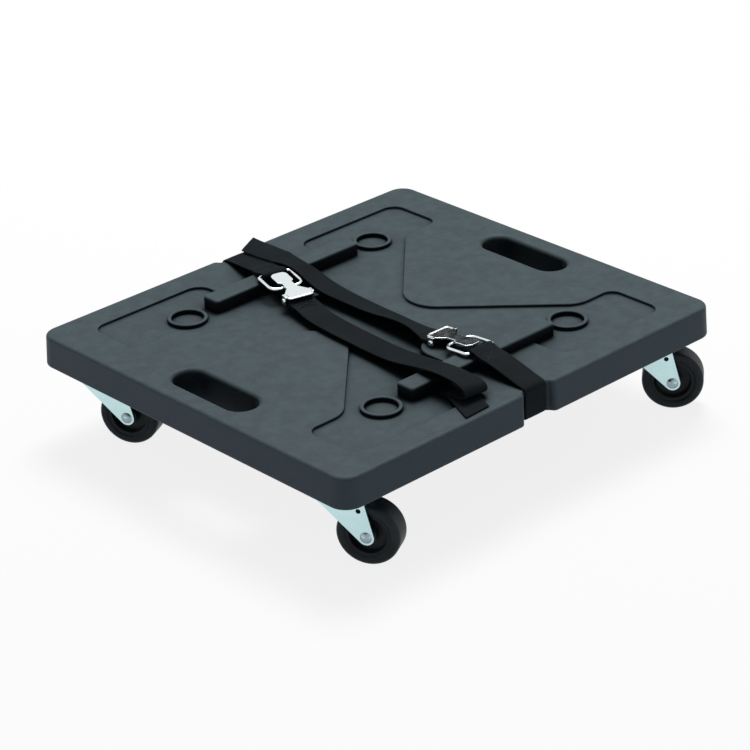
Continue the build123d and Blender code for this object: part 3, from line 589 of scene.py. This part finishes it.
@dataclass(frozen=True)
class MouldedWheel:
    """Black wheel stock, moulded, with a skin that turns dusty grey in patches."""

    name: str
    body: str
    dust: str
    roughness: float
    dust_mm: float
    pore_mm: float
    dust_from: float = 0.42
    dust_to: float = 0.75
    dust_roughness: float = 0.18
    pore_strength: float = 0.12
    pore_depth_mm: float = 0.4
    specular: float = 0.12

    def make(self) -> bpy.types.Material:
        """Make the finish.

        Returns:
            The material.
        """
        material, tree, shader = blank_material(self.name)
        place = add_node(tree, "ShaderNodeTexCoord").outputs["Object"]
        dust = add_node(
            tree,
            "ShaderNodeTexNoise",
            {"Scale": per_metre(self.dust_mm), "Detail": 6.0, "Roughness": 0.6},
            {"Vector": place},
        )
        level = add_node(
            tree,
            "ShaderNodeMapRange",
            {"From Min": self.dust_from, "From Max": self.dust_to},
            {"Value": dust.outputs[0]},
        )
        tone = add_node(
            tree,
            "ShaderNodeMix",
            {LOW: linear(self.body), HIGH: linear(self.dust)},
            {FACTOR: level.outputs[0]},
            data_type="RGBA",
        )
        shine = add_node(
            tree,
            "ShaderNodeMapRange",
            {"To Min": self.roughness, "To Max": self.roughness + self.dust_roughness},
            {"Value": level.outputs[0]},
        )
        pores = add_node(
            tree,
            "ShaderNodeTexNoise",
            {"Scale": per_metre(self.pore_mm), "Detail": 2.0},
            {"Vector": place},
        )
        relief = add_node(
            tree,
            "ShaderNodeBump",
            {"Strength": self.pore_strength, "Distance": self.pore_depth_mm * MM},
            {"Height": pores.outputs[0]},
        )
        set_inputs(
            tree,
            shader,
            {"Specular IOR Level": self.specular},
            {
                "Base Color": tone.outputs[MIXED],
                "Roughness": shine.outputs[0],
                "Normal": relief.outputs[0],
            },
        )
        return material


@dataclass(frozen=True)
class StudioPaper:
    """Paper or card off a roll, which looks matt and very slightly uneven.

    A lift brings it towards white to the eye, and it still takes the board's shadow.
    """

    name: str
    low: str
    high: str
    fibre_mm: float
    specular: float
    lift: float = 0.0
    lifted: str = "#ffffff"
    roughness: float = 1.0

    def make(self) -> bpy.types.Material:
        """Make the finish.

        Returns:
            The material.
        """
        material, tree, shader = blank_material(self.name)
        place = add_node(tree, "ShaderNodeTexCoord").outputs["Object"]
        scale = {"Scale": per_metre(self.fibre_mm)}
        fibre = add_node(tree, "ShaderNodeTexNoise", scale, {"Vector": place})
        tone = add_node(
            tree,
            "ShaderNodeMix",
            {LOW: linear(self.low), HIGH: linear(self.high)},
            {FACTOR: fibre.outputs[0]},
            data_type="RGBA",
        )
        set_inputs(
            tree,
            shader,
            {"Roughness": self.roughness, "Specular IOR Level": self.specular},
            {"Base Color": tone.outputs[MIXED]},
        )
        if self.lift:
            glow = {"Color": linear(self.lifted), "Strength": 1.0}
            white = add_node(tree, "ShaderNodeEmission", glow)
            share = add_node(
                tree,
                "ShaderNodeMath",
                {1: self.lift},
                {0: seen_directly(tree)},
                operation="MULTIPLY",
            )
            both = add_node(
                tree,
                "ShaderNodeMixShader",
                links={0: share.outputs[0], 1: shader.outputs["BSDF"], 2: white.outputs[0]},
            )
            set_inputs(tree, tree.get_output_node("ALL"), links={"Surface": both.outputs[0]})
        return material


class Palette:
    """Every finish on the board, made once."""

    def __init__(self) -> None:
        """Make the materials."""
        # Grained polyethylene is satin. Its edges are paler, partly from rubbed wear and partly
        # from painted highlight, and its sides and hollows carry painted shade.
        self.deck = MouldedPolyethylene().make()
        # Woven webbing is matt and finely lined.
        self.webbing = WovenPolyester().make()
        # Bonded thread catches a little more light than the webbing.
        self.thread = SewingThread().make()
        # Bright nickel gives hard white highlights and dark edges.
        self.nickel = WorkedMetal(
            name="steel_bright_nickel_plated",
            metal="#e6eced",
            bloom="#d3dcde",
            roughness=0.1,
            bloom_mm=9.0,
            line_mm=1.2,
            line_strength=0.05,
        ).make()
        # Blue passivated zinc is pale and a little cloudy.
        self.zinc = WorkedMetal(
            name="steel_blue_zinc_plated",
            metal="#cde7e9",
            bloom="#b5d5d9",
            roughness=0.26,
            bloom_mm=14.0,
            line_mm=1.6,
            line_strength=0.12,
        ).make()
        # Zinc on headed and threaded steel is greyer than on sheet.
        self.fastener = WorkedMetal(
            name="steel_zinc_plated_fastener",
            metal="#9fb0b6",
            bloom="#80929a",
            roughness=0.3,
            bloom_mm=5.0,
            line_mm=0.9,
            line_strength=0.1,
        ).make()
        # Turned brass keeps its fine lathe lines.
        self.brass = WorkedMetal(
            name="brass_turned",
            metal="#d9b35f",
            bloom="#c39a48",
            roughness=0.28,
            bloom_mm=7.0,
            line_mm=0.8,
            line_strength=0.1,
        ).make()
        # Hard rubber shows one broad soft highlight.
        self.rubber = MouldedWheel(
            name="rubber_hard_moulded",
            body="#1b2226",
            dust="#2c3439",
            roughness=0.4,
            dust_mm=24.0,
            pore_mm=1.4,
        ).make()
        # Polypropylene cores are smoother and a shade glossier than the tyre.
        self.core = MouldedWheel(
            name="polypropylene_moulded",
            body="#171b1e",
            dust="#23292c",
            roughness=0.34,
            dust_mm=18.0,
            pore_mm=1.0,
        ).make()


def dress(node: str, material: bpy.types.Material) -> None:
    """Give a CAD node its finish.

    Args:
        node: the node's name.
        material: the finish.
    """
    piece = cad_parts[node]
    piece.data.materials.clear()
    piece.data.materials.append(material)
    LOG.info("dressed %s with %s", node, material.name)


def add_mesh(
    name: str, vertices: Sequence[Any], faces: Sequence[tuple[int, ...]]
) -> bpy.types.Object:
    """Make a mesh object in the scene.

    Args:
        name: the object's name.
        vertices: its points in metres.
        faces: its faces, by the numbers of their points.

    Returns:
        The object.
    """
    data = bpy.data.meshes.new(name)
    data.from_pydata(vertices, [], faces)
    piece = bpy.data.objects.new(name, data)
    bpy.context.scene.collection.objects.link(piece)
    return piece


def tube_faces(base: int, rings: int, sides: int) -> list[tuple[int, ...]]:
    """Return the faces of a closed tube.

    Args:
        base: the number of its first point.
        rings: how many rings of points it has.
        sides: how many points there are in a ring.

    Returns:
        Its side faces, ring by ring, and then its two ends.
    """
    faces: list[tuple[int, ...]] = []
    for r in range(rings - 1):
        low = base + r * sides
        for k in range(sides):
            n = (k + 1) % sides
            faces.append((low + k, low + n, low + sides + n, low + sides + k))
    last = base + (rings - 1) * sides
    faces.append(tuple(reversed(range(base, base + sides))))
    faces.append(tuple(range(last, last + sides)))
    return faces


@dataclass
class Deck:
    """The moulded deck and the brass inserts in its underside."""

    palette: Palette

    def build(self) -> None:
        """Dress the deck's nodes."""
        dress("deck_shell", self.palette.deck)
        dress("caster_inserts", self.palette.brass)


@dataclass
class Caster:
    """One swivel caster: plate, fork, race, axle and wheel."""

    corner: Corner
    palette: Palette

    def build(self) -> None:
        """Dress the caster's nodes."""
        finishes = {
            "top_plate": self.palette.zinc,
            "mount_bolts": self.palette.fastener,
            "king_pin": self.palette.fastener,
            "race_balls": self.palette.nickel,
            "fork": self.palette.zinc,
            "axle_bolt": self.palette.fastener,
            "axle_nut": self.palette.fastener,
            "axle_sleeve": self.palette.fastener,
            "wheel_core": self.palette.core,
            "wheel_tyre": self.palette.rubber,
        }
        for piece, material in finishes.items():
            dress(f"{self.corner.value}_{piece}", material)


@dataclass
class Buckle:
    """One end's wire loop and hook plate."""

    end: End
    palette: Palette

    def build(self) -> None:
        """Dress the buckle's nodes."""
        for piece in ("loop", "hook", "hook_pin"):
            dress(f"{self.end.value}_{piece}", self.palette.nickel)


@dataclass(frozen=True)
class Station:
    """A point on a strap's middle line, in millimetres.

    Its bearing is the way the strap's width points in plan, and its lean lifts that side, both in
    degrees.
    """

    x: float
    y: float
    z: float
    bearing: float
    lean: float = 0.0

    def place(self) -> Vector:
        """Return the point in millimetres."""
        return Vector((self.x, self.y, self.z))

    def side(self) -> Vector:
        """Turn the bearing and the lean into a direction.

        Returns:
            The way the strap's width points.
        """
        bearing, lean = math.radians(self.bearing), math.radians(self.lean)
        flat = math.cos(lean)
        return Vector((math.cos(bearing) * flat, math.sin(bearing) * flat, math.sin(lean)))


@dataclass(frozen=True)
class Wrap:
    """A strap's turn round a wire or pin, in the upright plane along a heading in degrees."""

    x: float
    y: float
    z: float
    heading: float
    radius: float

    def at(self, along: float, up: float, bearing: float) -> Station:
        """Return a station at a distance along the heading and above the wire."""
        c, s = math.cos(math.radians(self.heading)), math.sin(math.radians(self.heading))
        return Station(self.x + along * c, self.y + along * s, self.z + up, bearing)

    def run(self, spots: Iterable[Spot], bearing: float) -> list[Station]:
        """Return a station for each pair of distances along the heading and above the wire."""
        return [self.at(along, up, bearing) for along, up in spots]

    def turn(self, angles: Iterable[float], bearing: float) -> list[Station]:
        """Return stations round the turn.

        Args:
            angles: degrees from the heading towards straight up.
            bearing: the way the strap's width points.

        Returns:
            One station for each angle.
        """
        turned = [math.radians(a) for a in angles]
        spots = [(self.radius * math.cos(a), self.radius * math.sin(a)) for a in turned]
        return self.run(spots, bearing)


@dataclass
class Ribbon:
    """A strip of webbing that follows stations, with rounded selvedges and a slight crown.

    Its end is cut at an angle in degrees off square. A positive cut leaves the side that its width
    points to the longer one.
    """

    stations: list[Station]
    width: float = 35.0
    thickness: float = 1.6
    crown: float = 0.25
    columns: int = 12
    step: float = 2.5
    fewest: int = 3
    cut: float = 0.0
    rings: list[tuple[Vector, Vector, Vector]] = field(init=False, default_factory=list)
    lengths: list[float] = field(init=False, default_factory=list)

    def __post_init__(self) -> None:
        """Lay the rings along the stations."""
        points = [s.place() for s in self.stations]
        sides = [s.side() for s in self.stations]
        middle: list[Vector] = []
        across: list[Vector] = []
        for i in range(len(points) - 1):
            count = max(self.fewest, round((points[i + 1] - points[i]).length / self.step))
            for k in range(count):
                middle.append(self.between(points, i, k / count))
                across.append(self.between(sides, i, k / count).normalized())
        middle.append(points[-1])
        across.append(sides[-1])
        run = 0.0
        for i, point in enumerate(middle):
            run += (point - middle[i - 1]).length if i else 0.0
            ahead = middle[min(i + 1, len(middle) - 1)] - middle[max(i - 1, 0)]
            up = across[i].cross(ahead).normalized()
            self.rings.append((point, across[i], up))
            self.lengths.append(run)

    @staticmethod
    def between(points: list[Vector], i: int, t: float) -> Vector:
        """Return a point between two of the points, on a smooth line through all of them.

        The line is a centripetal spline, which makes no loops where points lie close together.

        Args:
            points: the points, in order.
            i: the number of the point before.
            t: how far along, from nought to one.

        Returns:
            The point.
        """
        b, c = points[i], points[i + 1]
        a = points[i - 1] if i else b + (b - c)
        d = points[i + 2] if i + 2 < len(points) else c + (c - b)
        knots = [0.0]
        for p, q in ((a, b), (b, c), (c, d)):
            knots.append(knots[-1] + max((q - p).length, SHORTEST) ** 0.5)
        u = knots[1] + t * (knots[2] - knots[1])

        def mix(p: Vector, q: Vector, low: int, high: int) -> Vector:
            """Return the point between p and q at u."""
            return p.lerp(q, (u - knots[low]) / (knots[high] - knots[low]))

        ab, bc, cd = mix(a, b, 0, 1), mix(b, c, 1, 2), mix(c, d, 2, 3)
        return mix(mix(ab, bc, 0, 2), mix(bc, cd, 1, 3), 1, 2)

    @property
    def length(self) -> float:
        """The strip's length in millimetres."""
        return self.lengths[-1]

    def at(self, run: float, across: float, lift: float) -> Vector:
        """Return a point on the strip.

        Args:
            run: millimetres from the strip's start.
            across: millimetres from its middle.
            lift: millimetres off its middle layer.

        Returns:
            The point in metres.
        """
        i = min(max(bisect_right(self.lengths, run) - 1, 0), len(self.rings) - 2)
        share = (run - self.lengths[i]) / (self.lengths[i + 1] - self.lengths[i])
        point, side, up = (p.lerp(q, share) for p, q in zip(self.rings[i], self.rings[i + 1]))
        return (point + side * across + up * lift) * MM

    def drawn_back(self, run: float, across: float) -> float:
        """Return how far along the strip a point lies once the strip's end is cut at its angle.

        Args:
            run: millimetres from the strip's start before the cut.
            across: millimetres from its middle.

        Returns:
            Millimetres from the strip's start.
        """
        slope = math.tan(math.radians(abs(self.cut)))
        # The slant fades out over twice its own length.
        reach = 2 * self.width * slope
        if not reach:
            return run
        near = max(0.0, 1 - (self.length - run) / reach)
        return run - near * slope * (self.width / 2 - math.copysign(across, self.cut * across))

    def profile(self) -> list[Spot]:
        """Draw the strip's section.

        Returns:
            Points across and above its middle, all the way round.
        """
        half, thick = self.width / 2, self.thickness / 2
        flat = half - thick
        top = []
        for k in range(self.columns + 1):
            x = -flat + 2 * flat * k / self.columns
            top.append((x, thick + self.crown * (1 - (x / half) ** 2)))
        turned = [math.radians(a) for a in SELVEDGE]
        right = [(flat + thick * math.sin(a), thick * math.cos(a)) for a in turned]
        bottom = [(x, z - 2 * thick) for x, z in reversed(top)]
        left = [(-x, -z) for x, z in right]
        return top + right + bottom + left

    def mesh(self, name: str) -> bpy.types.Object:
        """Make the strip's object.

        Args:
            name: the object's name.

        Returns:
            The object, with its lay along and across the strip as a UV map in metres.
        """
        section = self.profile()
        count = len(section)
        lays = [(self.drawn_back(run, x), x) for run in self.lengths for x, _ in section]
        vertices = [self.at(run, x, section[k % count][1]) for k, (run, x) in enumerate(lays)]
        piece = add_mesh(name, vertices, tube_faces(0, len(self.rings), count))
        lay = piece.data.uv_layers.new(name="lay")
        for loop in piece.data.loops:
            run, across = lays[loop.vertex_index]
            lay.data[loop.index].uv = (run * MM, across * MM)
        # Only the two cut ends are flat.
        for polygon in piece.data.polygons:
            polygon.use_smooth = len(polygon.vertices) == 4
        return piece


@dataclass(frozen=True)
class Sewn:
    """Where a box is sewn on a strap, in millimetres.

    A start below nought counts back from the strap's end, and a lift below nought is on its
    underside.
    """

    start: float
    length: float
    lift: float


@dataclass
class StitchBox:
    """A sewn box with crossed diagonals, made of separate stitches on a strip.

    Each stitch is an arched length of thread with bare webbing before and after it, as a share of
    the stitches' pitch. Its rise and sink are in thread radii.
    """

    ribbon: Ribbon
    sewn: Sewn
    width: float = 25.0
    pitch: float = 3.4
    thread: float = 0.42
    bare: float = 0.12
    rise: float = 1.1
    sink: float = 0.5
    fewest: int = 2
    spans: int = 4
    sides: int = 6

    def lines(self) -> list[tuple[Spot, Spot]]:
        """Lay out the box and its diagonals.

        Returns:
            The sewn lines as pairs of points along and across the strip.
        """
        a = self.sewn.start if self.sewn.start >= 0 else self.ribbon.length + self.sewn.start
        b = a + self.sewn.length
        w = self.width / 2
        return [
            ((a, -w), (b, -w)),
            ((b, -w), (b, w)),
            ((b, w), (a, w)),
            ((a, w), (a, -w)),
            ((a, -w), (b, w)),
            ((b, -w), (a, w)),
        ]

    def ring(self, line: tuple[Spot, Spot], share: float, span: int) -> list[Vector]:
        """Return one ring of points round a stitch's thread.

        Args:
            line: the sewn line.
            share: how far along the line the ring lies, from nought to one.
            span: the ring's number in its stitch.

        Returns:
            The points in metres.
        """
        (u0, v0), (u1, v1) = line
        length = math.hypot(u1 - u0, v1 - v0)
        u, v = u0 + (u1 - u0) * share, v0 + (v1 - v0) * share
        du, dv = -(v1 - v0) / length * self.thread, (u1 - u0) / length * self.thread
        arch = self.rise * math.sin(math.pi * span / self.spans) - self.sink
        lift = math.copysign(abs(self.sewn.lift) + self.thread * arch, self.sewn.lift)
        points = []
        for k in range(self.sides):
            angle = math.tau * k / self.sides
            c, s = math.cos(angle), math.sin(angle)
            points.append(self.ribbon.at(u + du * c, v + dv * c, lift + self.thread * s))
        return points

    def mesh(self, name: str) -> bpy.types.Object:
        """Make the stitches as one object of small humps of thread.

        Args:
            name: the object's name.

        Returns:
            The object.
        """
        vertices: list[Vector] = []
        faces: list[tuple[int, ...]] = []
        for line in self.lines():
            count = max(self.fewest, round(math.dist(*line) / self.pitch))
            for k in range(count):
                low, high = (k + self.bare) / count, (k + 1 - self.bare) / count
                faces += tube_faces(len(vertices), self.spans + 1, self.sides)
                for j in range(self.spans + 1):
                    vertices += self.ring(line, low + (high - low) * j / self.spans, j)
        piece = add_mesh(name, vertices, faces)
        for polygon in piece.data.polygons:
            polygon.use_smooth = True
        return piece


@dataclass
class Strap:
    """One strap of the tie-down, with its sewn eyes."""

    node: str
    stations: list[Station]
    sewn: list[Sewn]
    hold: Hold
    rests_on: list[str]
    palette: Palette
    cut: float = 0.0

    def build(self) -> None:
        """Make the webbing and its stitches, and set them in the node's place."""
        ribbon = Ribbon(self.stations, cut=self.cut)
        piece = ribbon.mesh(f"{self.node}_webbing")
        piece.data.materials.append(self.palette.webbing)
        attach(piece, "deck")
        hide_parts(self.node)
        for number, sewn in enumerate(self.sewn, 1):
            box = StitchBox(ribbon, sewn).mesh(f"{self.node}_stitches_{number}")
            box.data.materials.append(self.palette.thread)
            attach(box, "deck")


@dataclass
class TieDown:
    """The deck strap and the two hook straps that meet over the deck."""

    palette: Palette
    back_eye: Wrap = Wrap(x=-23.6, y=160.0, z=155.35, heading=-104.0, radius=3.5)
    front_eye: Wrap = Wrap(x=1.32, y=-176.0, z=155.35, heading=89.0, radius=3.5)
    back_pin: Wrap = Wrap(x=-38.99, y=98.29, z=147.91, heading=76.0, radius=3.4)
    front_pin: Wrap = Wrap(x=2.43, y=-112.41, z=147.91, heading=-91.0, radius=3.4)
    back_bearing: float = -14.0
    front_bearing: float = -1.0
    back_reach: float = 44.0
    front_reach: float = 19.0
    back_cut: float = -25.0
    front_cut: float = 40.0

    def deck_route(self) -> list[Station]:
        """Lay the deck strap from its back eye under the deck to its front eye.

        Returns:
            The stations.
        """
        back, front = self.back_eye, self.front_eye
        # Distances along the heading and above the wire, under it and then back over it.
        flap = [(-30.0, -3.5), (-20.0, -3.5), (-9.0, -3.5)]
        over = [(-3.0, 3.25), (-7.0, 2.2), (-13.0, 0.3), (-20.0, -1.2), (-28.0, -1.8)]
        # Y and Z from the deck's edge through a notch to its underside, the same at both ends.
        under = 100.8
        drop = [(265.6, 137.7), (267.0, 134.8), (267.2, 130.0), (267.2, 108.0)]
        drop += [(267.1, 102.8), (266.6, 101.3), (265.1, under), (250.0, under)]
        route = back.run(flap, self.back_bearing)
        route += back.turn(HALF_TURN, self.back_bearing)
        route += back.run(over, self.back_bearing)
        route += [
            Station(-14.5, 196.5, 151.4, -14.0),
            Station(-11.0, 210.3, 148.8, -14.0),
            Station(-7.0, 226.0, 145.8, -14.0),
            Station(-3.2, 241.0, 143.0, -13.0),
            Station(-0.9, 250.0, 141.4, -8.0),
            Station(-0.1, 257.0, 140.2, -3.0),
            Station(0.0, 262.6, 139.1, 0.0),
        ]
        route += [Station(0.0, y, z, 0.0) for y, z in drop]
        route.append(Station(0.0, 0.0, under, 0.0))
        route += [Station(0.0, -y, z, 0.0) for y, z in reversed(drop)]
        route += [
            Station(0.0, -262.6, 139.3, 0.0),
            Station(0.0, -252.0, 142.0, 0.0),
            Station(0.2, -238.0, 145.6, -1.0),
            Station(0.5, -222.0, 149.6, -1.0),
            Station(0.7, -210.0, 152.2, -1.0),
        ]
        route += front.run(reversed(over), self.front_bearing)
        route += front.turn(reversed(HALF_TURN), self.front_bearing)
        route += front.run(reversed(flap), self.front_bearing)
        return route

    @staticmethod
    def hook_end(pin: Wrap, bearing: float, reach: float) -> list[Station]:
        """Lay the sewn end of a hook's strap, from its hidden flap round the pin to the deck.

        Args:
            pin: the strap's turn round the hook's pin.
            bearing: the way the strap's width points.
            reach: how far past the pin it lies square, in millimetres.

        Returns:
            The stations.
        """
        # Distances along the heading and above the pin, under it and then back over it.
        flap = [(-22.0, -3.55), (-15.0, -3.55), (-8.0, -3.5)]
        over = [(-2.0, 3.0), (-4.0, 2.0), (-6.0, 0.95), (-8.0, 0.0), (-10.0, -0.6)]
        over += [(-13.0, -1.1), (-19.0, -1.5), (-27.0, -1.75), (-36.0, -2.8), (-44.0, -3.7)]
        route = pin.run(flap, bearing)
        route += pin.turn(HALF_TURN, bearing)
        route += pin.run([(along, up) for along, up in over if -along <= reach], bearing)
        return route

    def back_route(self) -> list[Station]:
        """Lay the back hook's strap from its sewn eye to the end folded under on the deck.

        Returns:
            The stations.
        """
        return self.hook_end(self.back_pin, self.back_bearing, self.back_reach) + [
            Station(-53.9, 33.0, 144.0, -9.0),
            Station(-56.8, 6.0, 144.0, -3.5),
            Station(-59.4, -37.0, 143.8, -3.5),
            Station(-62.1, -80.0, 144.4, -3.5),
            Station(-63.7, -107.0, 146.3, -3.5),
            Station(-65.5, -136.0, 150.4, -3.5, -3.0),
            Station(-67.0, -160.0, 154.5, -3.5, -6.0),
            Station(-68.7, -188.0, 158.3, -3.5, -7.0),
            Station(-70.2, -212.0, 159.3, -4.0, -7.0),
            Station(-71.4, -231.0, 158.2, -4.0, -5.0),
            Station(-72.2, -240.5, 154.2, -4.0, -3.0),
            Station(-72.3, -242.6, 148.8, -4.0, -1.0),
            Station(-71.6, -238.6, 143.8, -5.0),
            Station(-70.7, -229.0, 141.5, -8.0),
            Station(-70.3, -219.0, 141.3, -12.0),
            Station(-70.6, -213.0, 140.9, -16.0),
            Station(-70.9, -212.2, 140.2, -18.0),
            Station(-71.2, -213.8, 139.4, -20.0),
            Station(-73.5, -220.4, 139.2, -21.0),
            Station(-83.0, -243.0, 139.2, -22.0),
            Station(-95.5, -272.0, 139.2, -22.0),
        ]

    def front_route(self) -> list[Station]:
        """Lay the front hook's strap from its sewn eye over the back loop to its loose end.

        Returns:
            The stations.
        """
        return self.hook_end(self.front_pin, self.front_bearing, self.front_reach) + [
            Station(3.4, -88.0, 146.0, -2.0, -8.0),
            Station(4.5, -69.0, 146.8, -4.5, -20.0),
            Station(5.9, -50.0, 146.4, -3.6, -22.5),
            Station(6.8, -26.0, 145.3, -2.3, -19.5),
            Station(7.2, -7.0, 144.1, -1.6, -15.5),
            Station(7.5, 16.0, 143.4, -1.2, -12.8),
            Station(8.0, 41.0, 143.4, -1.4, -11.5),
            Station(8.5, 62.0, 143.5, -2.0, -10.2),
            Station(9.5, 84.0, 143.9, -3.4, -8.5),
            Station(10.6, 101.0, 145.3, -3.8, -9.0),
            Station(11.8, 117.0, 148.0, -3.5, -11.5),
            Station(12.8, 135.0, 152.6, -3.3, -14.5),
            Station(13.6, 150.0, 155.3, -3.4, -15.0),
            Station(14.3, 164.0, 155.6, -4.6, -13.0),
            Station(15.4, 176.0, 155.0, -6.0, -9.0),
            Station(16.6, 187.0, 153.8, -7.4, -4.0),
            Station(18.4, 199.0, 153.2, -8.3),
            Station(20.6, 213.0, 150.8, -9.0, 2.0),
            Station(23.7, 232.0, 148.4, -9.6, 3.0),
            Station(27.0, 251.0, 145.6, -10.3, 3.0),
            Station(30.5, 268.0, 143.4, -10.8, 1.5),
            Station(33.9, 288.0, 141.9, -11.0),
        ]

    def build(self) -> None:
        """Make the three straps."""
        Strap(
            node="deck_strap",
            stations=self.deck_route(),
            sewn=[
                Sewn(start=51.0, length=17.0, lift=0.95),
                Sewn(start=-68.0, length=17.0, lift=0.95),
            ],
            hold=Hold.STRETCHED,
            rests_on=["deck_shell", "back_loop", "front_loop"],
            palette=self.palette,
        ).build()
        Strap(
            node="back_strap",
            stations=self.back_route(),
            sewn=[Sewn(start=50.0, length=10.0, lift=-0.95)],
            hold=Hold.FOLDED,
            rests_on=["deck_shell", "back_hook_pin"],
            palette=self.palette,
            cut=self.back_cut,
        ).build()
        Strap(
            node="front_strap",
            stations=self.front_route(),
            sewn=[Sewn(start=50.0, length=10.0, lift=0.95)],
            hold=Hold.LAID,
            rests_on=["deck_shell", "front_hook_pin"],
            palette=self.palette,
            cut=self.front_cut,
        ).build()


@dataclass
class Studio:
    """A white paper floor under an even sky.

    One broad lamp hangs high behind the board on its right, two low strips light its left and
    front, and a dark card stands behind it for mirrors to see.
    """

    floor_size: float = 24.0
    floor_finish: StudioPaper = StudioPaper(
        name="paper_seamless_white",
        low="#fbfbfb",
        high="#fcfcfc",
        fibre_mm=40.0,
        specular=0.0,
        lift=0.84,
    )
    sky: str = "#f4f8fa"
    sky_strength: float = 0.2
    sky_seen: str = "#ffffff"
    key_place: Point = (1.6, 1.3, 4.2)
    key_aim: Point = (0.0, 0.0, 0.1)
    key_power: float = 190.0
    key_size: Spot = (2.2, 2.2)
    left_place: Point = (-1.5, 0.1, 0.07)
    left_aim: Point = (0.0, 0.1, 0.08)
    front_place: Point = (0.2, -1.5, 0.07)
    front_aim: Point = (0.2, 0.0, 0.08)
    strip_power: float = 1.7
    strip_size: Spot = (1.4, 0.1)
    card_finish: StudioPaper = StudioPaper(
        name="card_matt_black", low="#121416", high="#16181a", fibre_mm=60.0, specular=0.5
    )
    card_place: Spot = (1.5, 1.64)
    card_size: Spot = (2.6, 1.2)

    @staticmethod
    def lamp(name: str, place: Point, aim: Point, power: float, size: Spot) -> None:
        """Hang one lamp.

        Args:
            name: the lamp's name.
            place: where it hangs, in metres.
            aim: the point that it faces, in metres.
            power: its power in watts.
            size: its width and height in metres.
        """
        data = bpy.data.lights.new(name, "AREA")
        data.shape = "RECTANGLE"
        data.energy = power
        data.size, data.size_y = size
        lamp = bpy.data.objects.new(name, data)
        lamp.location = place
        lamp.rotation_euler = (Vector(aim) - Vector(place)).to_track_quat("-Z", "Y").to_euler()
        bpy.context.scene.collection.objects.link(lamp)

    def floor(self) -> None:
        """Lay the floor."""
        half = self.floor_size / 2
        corners = [(-half, -half, 0.0), (half, -half, 0.0), (half, half, 0.0), (-half, half, 0.0)]
        floor = add_mesh("studio_floor", corners, [(0, 1, 2, 3)])
        floor.data.materials.append(self.floor_finish.make())

    def card(self) -> None:
        """Stand a dark card behind the board, which gives bright plating its dark side."""
        x, y = self.card_place
        width, height = self.card_size
        across = Vector((-y, x, 0.0)).normalized() * (width / 2)
        foot = Vector((x, y, 0.0))
        rise = Vector((0.0, 0.0, height))
        corners = [foot - across, foot + across, foot + across + rise, foot - across + rise]
        card = add_mesh("studio_card", corners, [(0, 1, 2, 3)])
        card.data.materials.append(self.card_finish.make())
        # Only mirror rays see it.
        card.visible_camera = False
        card.visible_diffuse = False
        card.visible_shadow = False

    def surround(self) -> None:
        """Set an even sky, which is plain white to the eye and in reflections."""
        world = bpy.data.worlds.new("studio_sky")
        world.use_nodes = True
        tree = world.node_tree
        tree.nodes.clear()
        glow = {"Color": linear(self.sky), "Strength": self.sky_strength}
        light = add_node(tree, "ShaderNodeBackground", glow)
        plain = {"Color": linear(self.sky_seen), "Strength": 1.0}
        white = add_node(tree, "ShaderNodeBackground", plain)
        both = add_node(
            tree,
            "ShaderNodeMixShader",
            links={0: seen_directly(tree), 1: light.outputs[0], 2: white.outputs[0]},
        )
        add_node(tree, "ShaderNodeOutputWorld", links={"Surface": both.outputs[0]})
        bpy.context.scene.world = world

    def build(self) -> None:
        """Make the floor, the card, the sky and the lamps."""
        self.floor()
        self.card()
        self.surround()
        self.lamp("key_lamp", self.key_place, self.key_aim, self.key_power, self.key_size)
        # The strips stand in for light thrown back by the paper beyond the board's own shadow.
        strip = (self.strip_power, self.strip_size)
        self.lamp("left_strip", self.left_place, self.left_aim, *strip)
        self.lamp("front_strip", self.front_place, self.front_aim, *strip)
        bpy.context.scene.view_settings.view_transform = "Standard"
        LOG.info("lit the studio")


@dataclass
class PhotoCamera:
    """The camera where the photograph was taken from, turned about a point on the deck's top."""

    pivot: Point = (0.0, 0.0, 0.138)
    azimuth: float = -42.411
    elevation: float = 26.885
    roll: float = -2.184
    distance: float = 3.5113
    across: float = -0.00178
    up: float = -0.06904
    lens: float = 138.69
    sensor: float = 36.0
    farthest: float = 50.0

    def build(self) -> None:
        """Place the camera and make it the scene's own."""
        a, e, r = (math.radians(v) for v in (self.azimuth, self.elevation, self.roll))
        back = Vector((math.sin(a) * math.cos(e), -math.cos(a) * math.cos(e), math.sin(e)))
        level = Vector((math.cos(a), math.sin(a), 0.0))
        rise = back.cross(level)
        right = math.cos(r) * level + math.sin(r) * rise
        top = math.cos(r) * rise - math.sin(r) * level
        data = bpy.data.cameras.new("photo_camera")
        data.sensor_width = self.sensor
        data.lens = self.lens
        data.clip_end = self.farthest
        camera = bpy.data.objects.new("photo_camera", data)
        turn = Matrix((right, top, back)).transposed().to_4x4()
        place = Vector(self.pivot) + self.distance * back + self.across * right + self.up * top
        camera.matrix_world = Matrix.Translation(place) @ turn
        bpy.context.scene.collection.objects.link(camera)
        bpy.context.scene.camera = camera
        LOG.info("placed the camera at %s", tuple(round(v, 3) for v in place))


def main() -> None:
    """Build the board, the studio and the camera."""
    logging.basicConfig(level=logging.INFO, format="%(name)s: %(message)s")
    palette = Palette()
    PhotoCamera().build()
    Deck(palette).build()
    for corner in Corner:
        Caster(corner, palette).build()
    for end in End:
        Buckle(end, palette).build()
    TieDown(palette).build()
    Studio().build()
    bpy.context.view_layer.update()


if __name__ == "__main__":
    main()
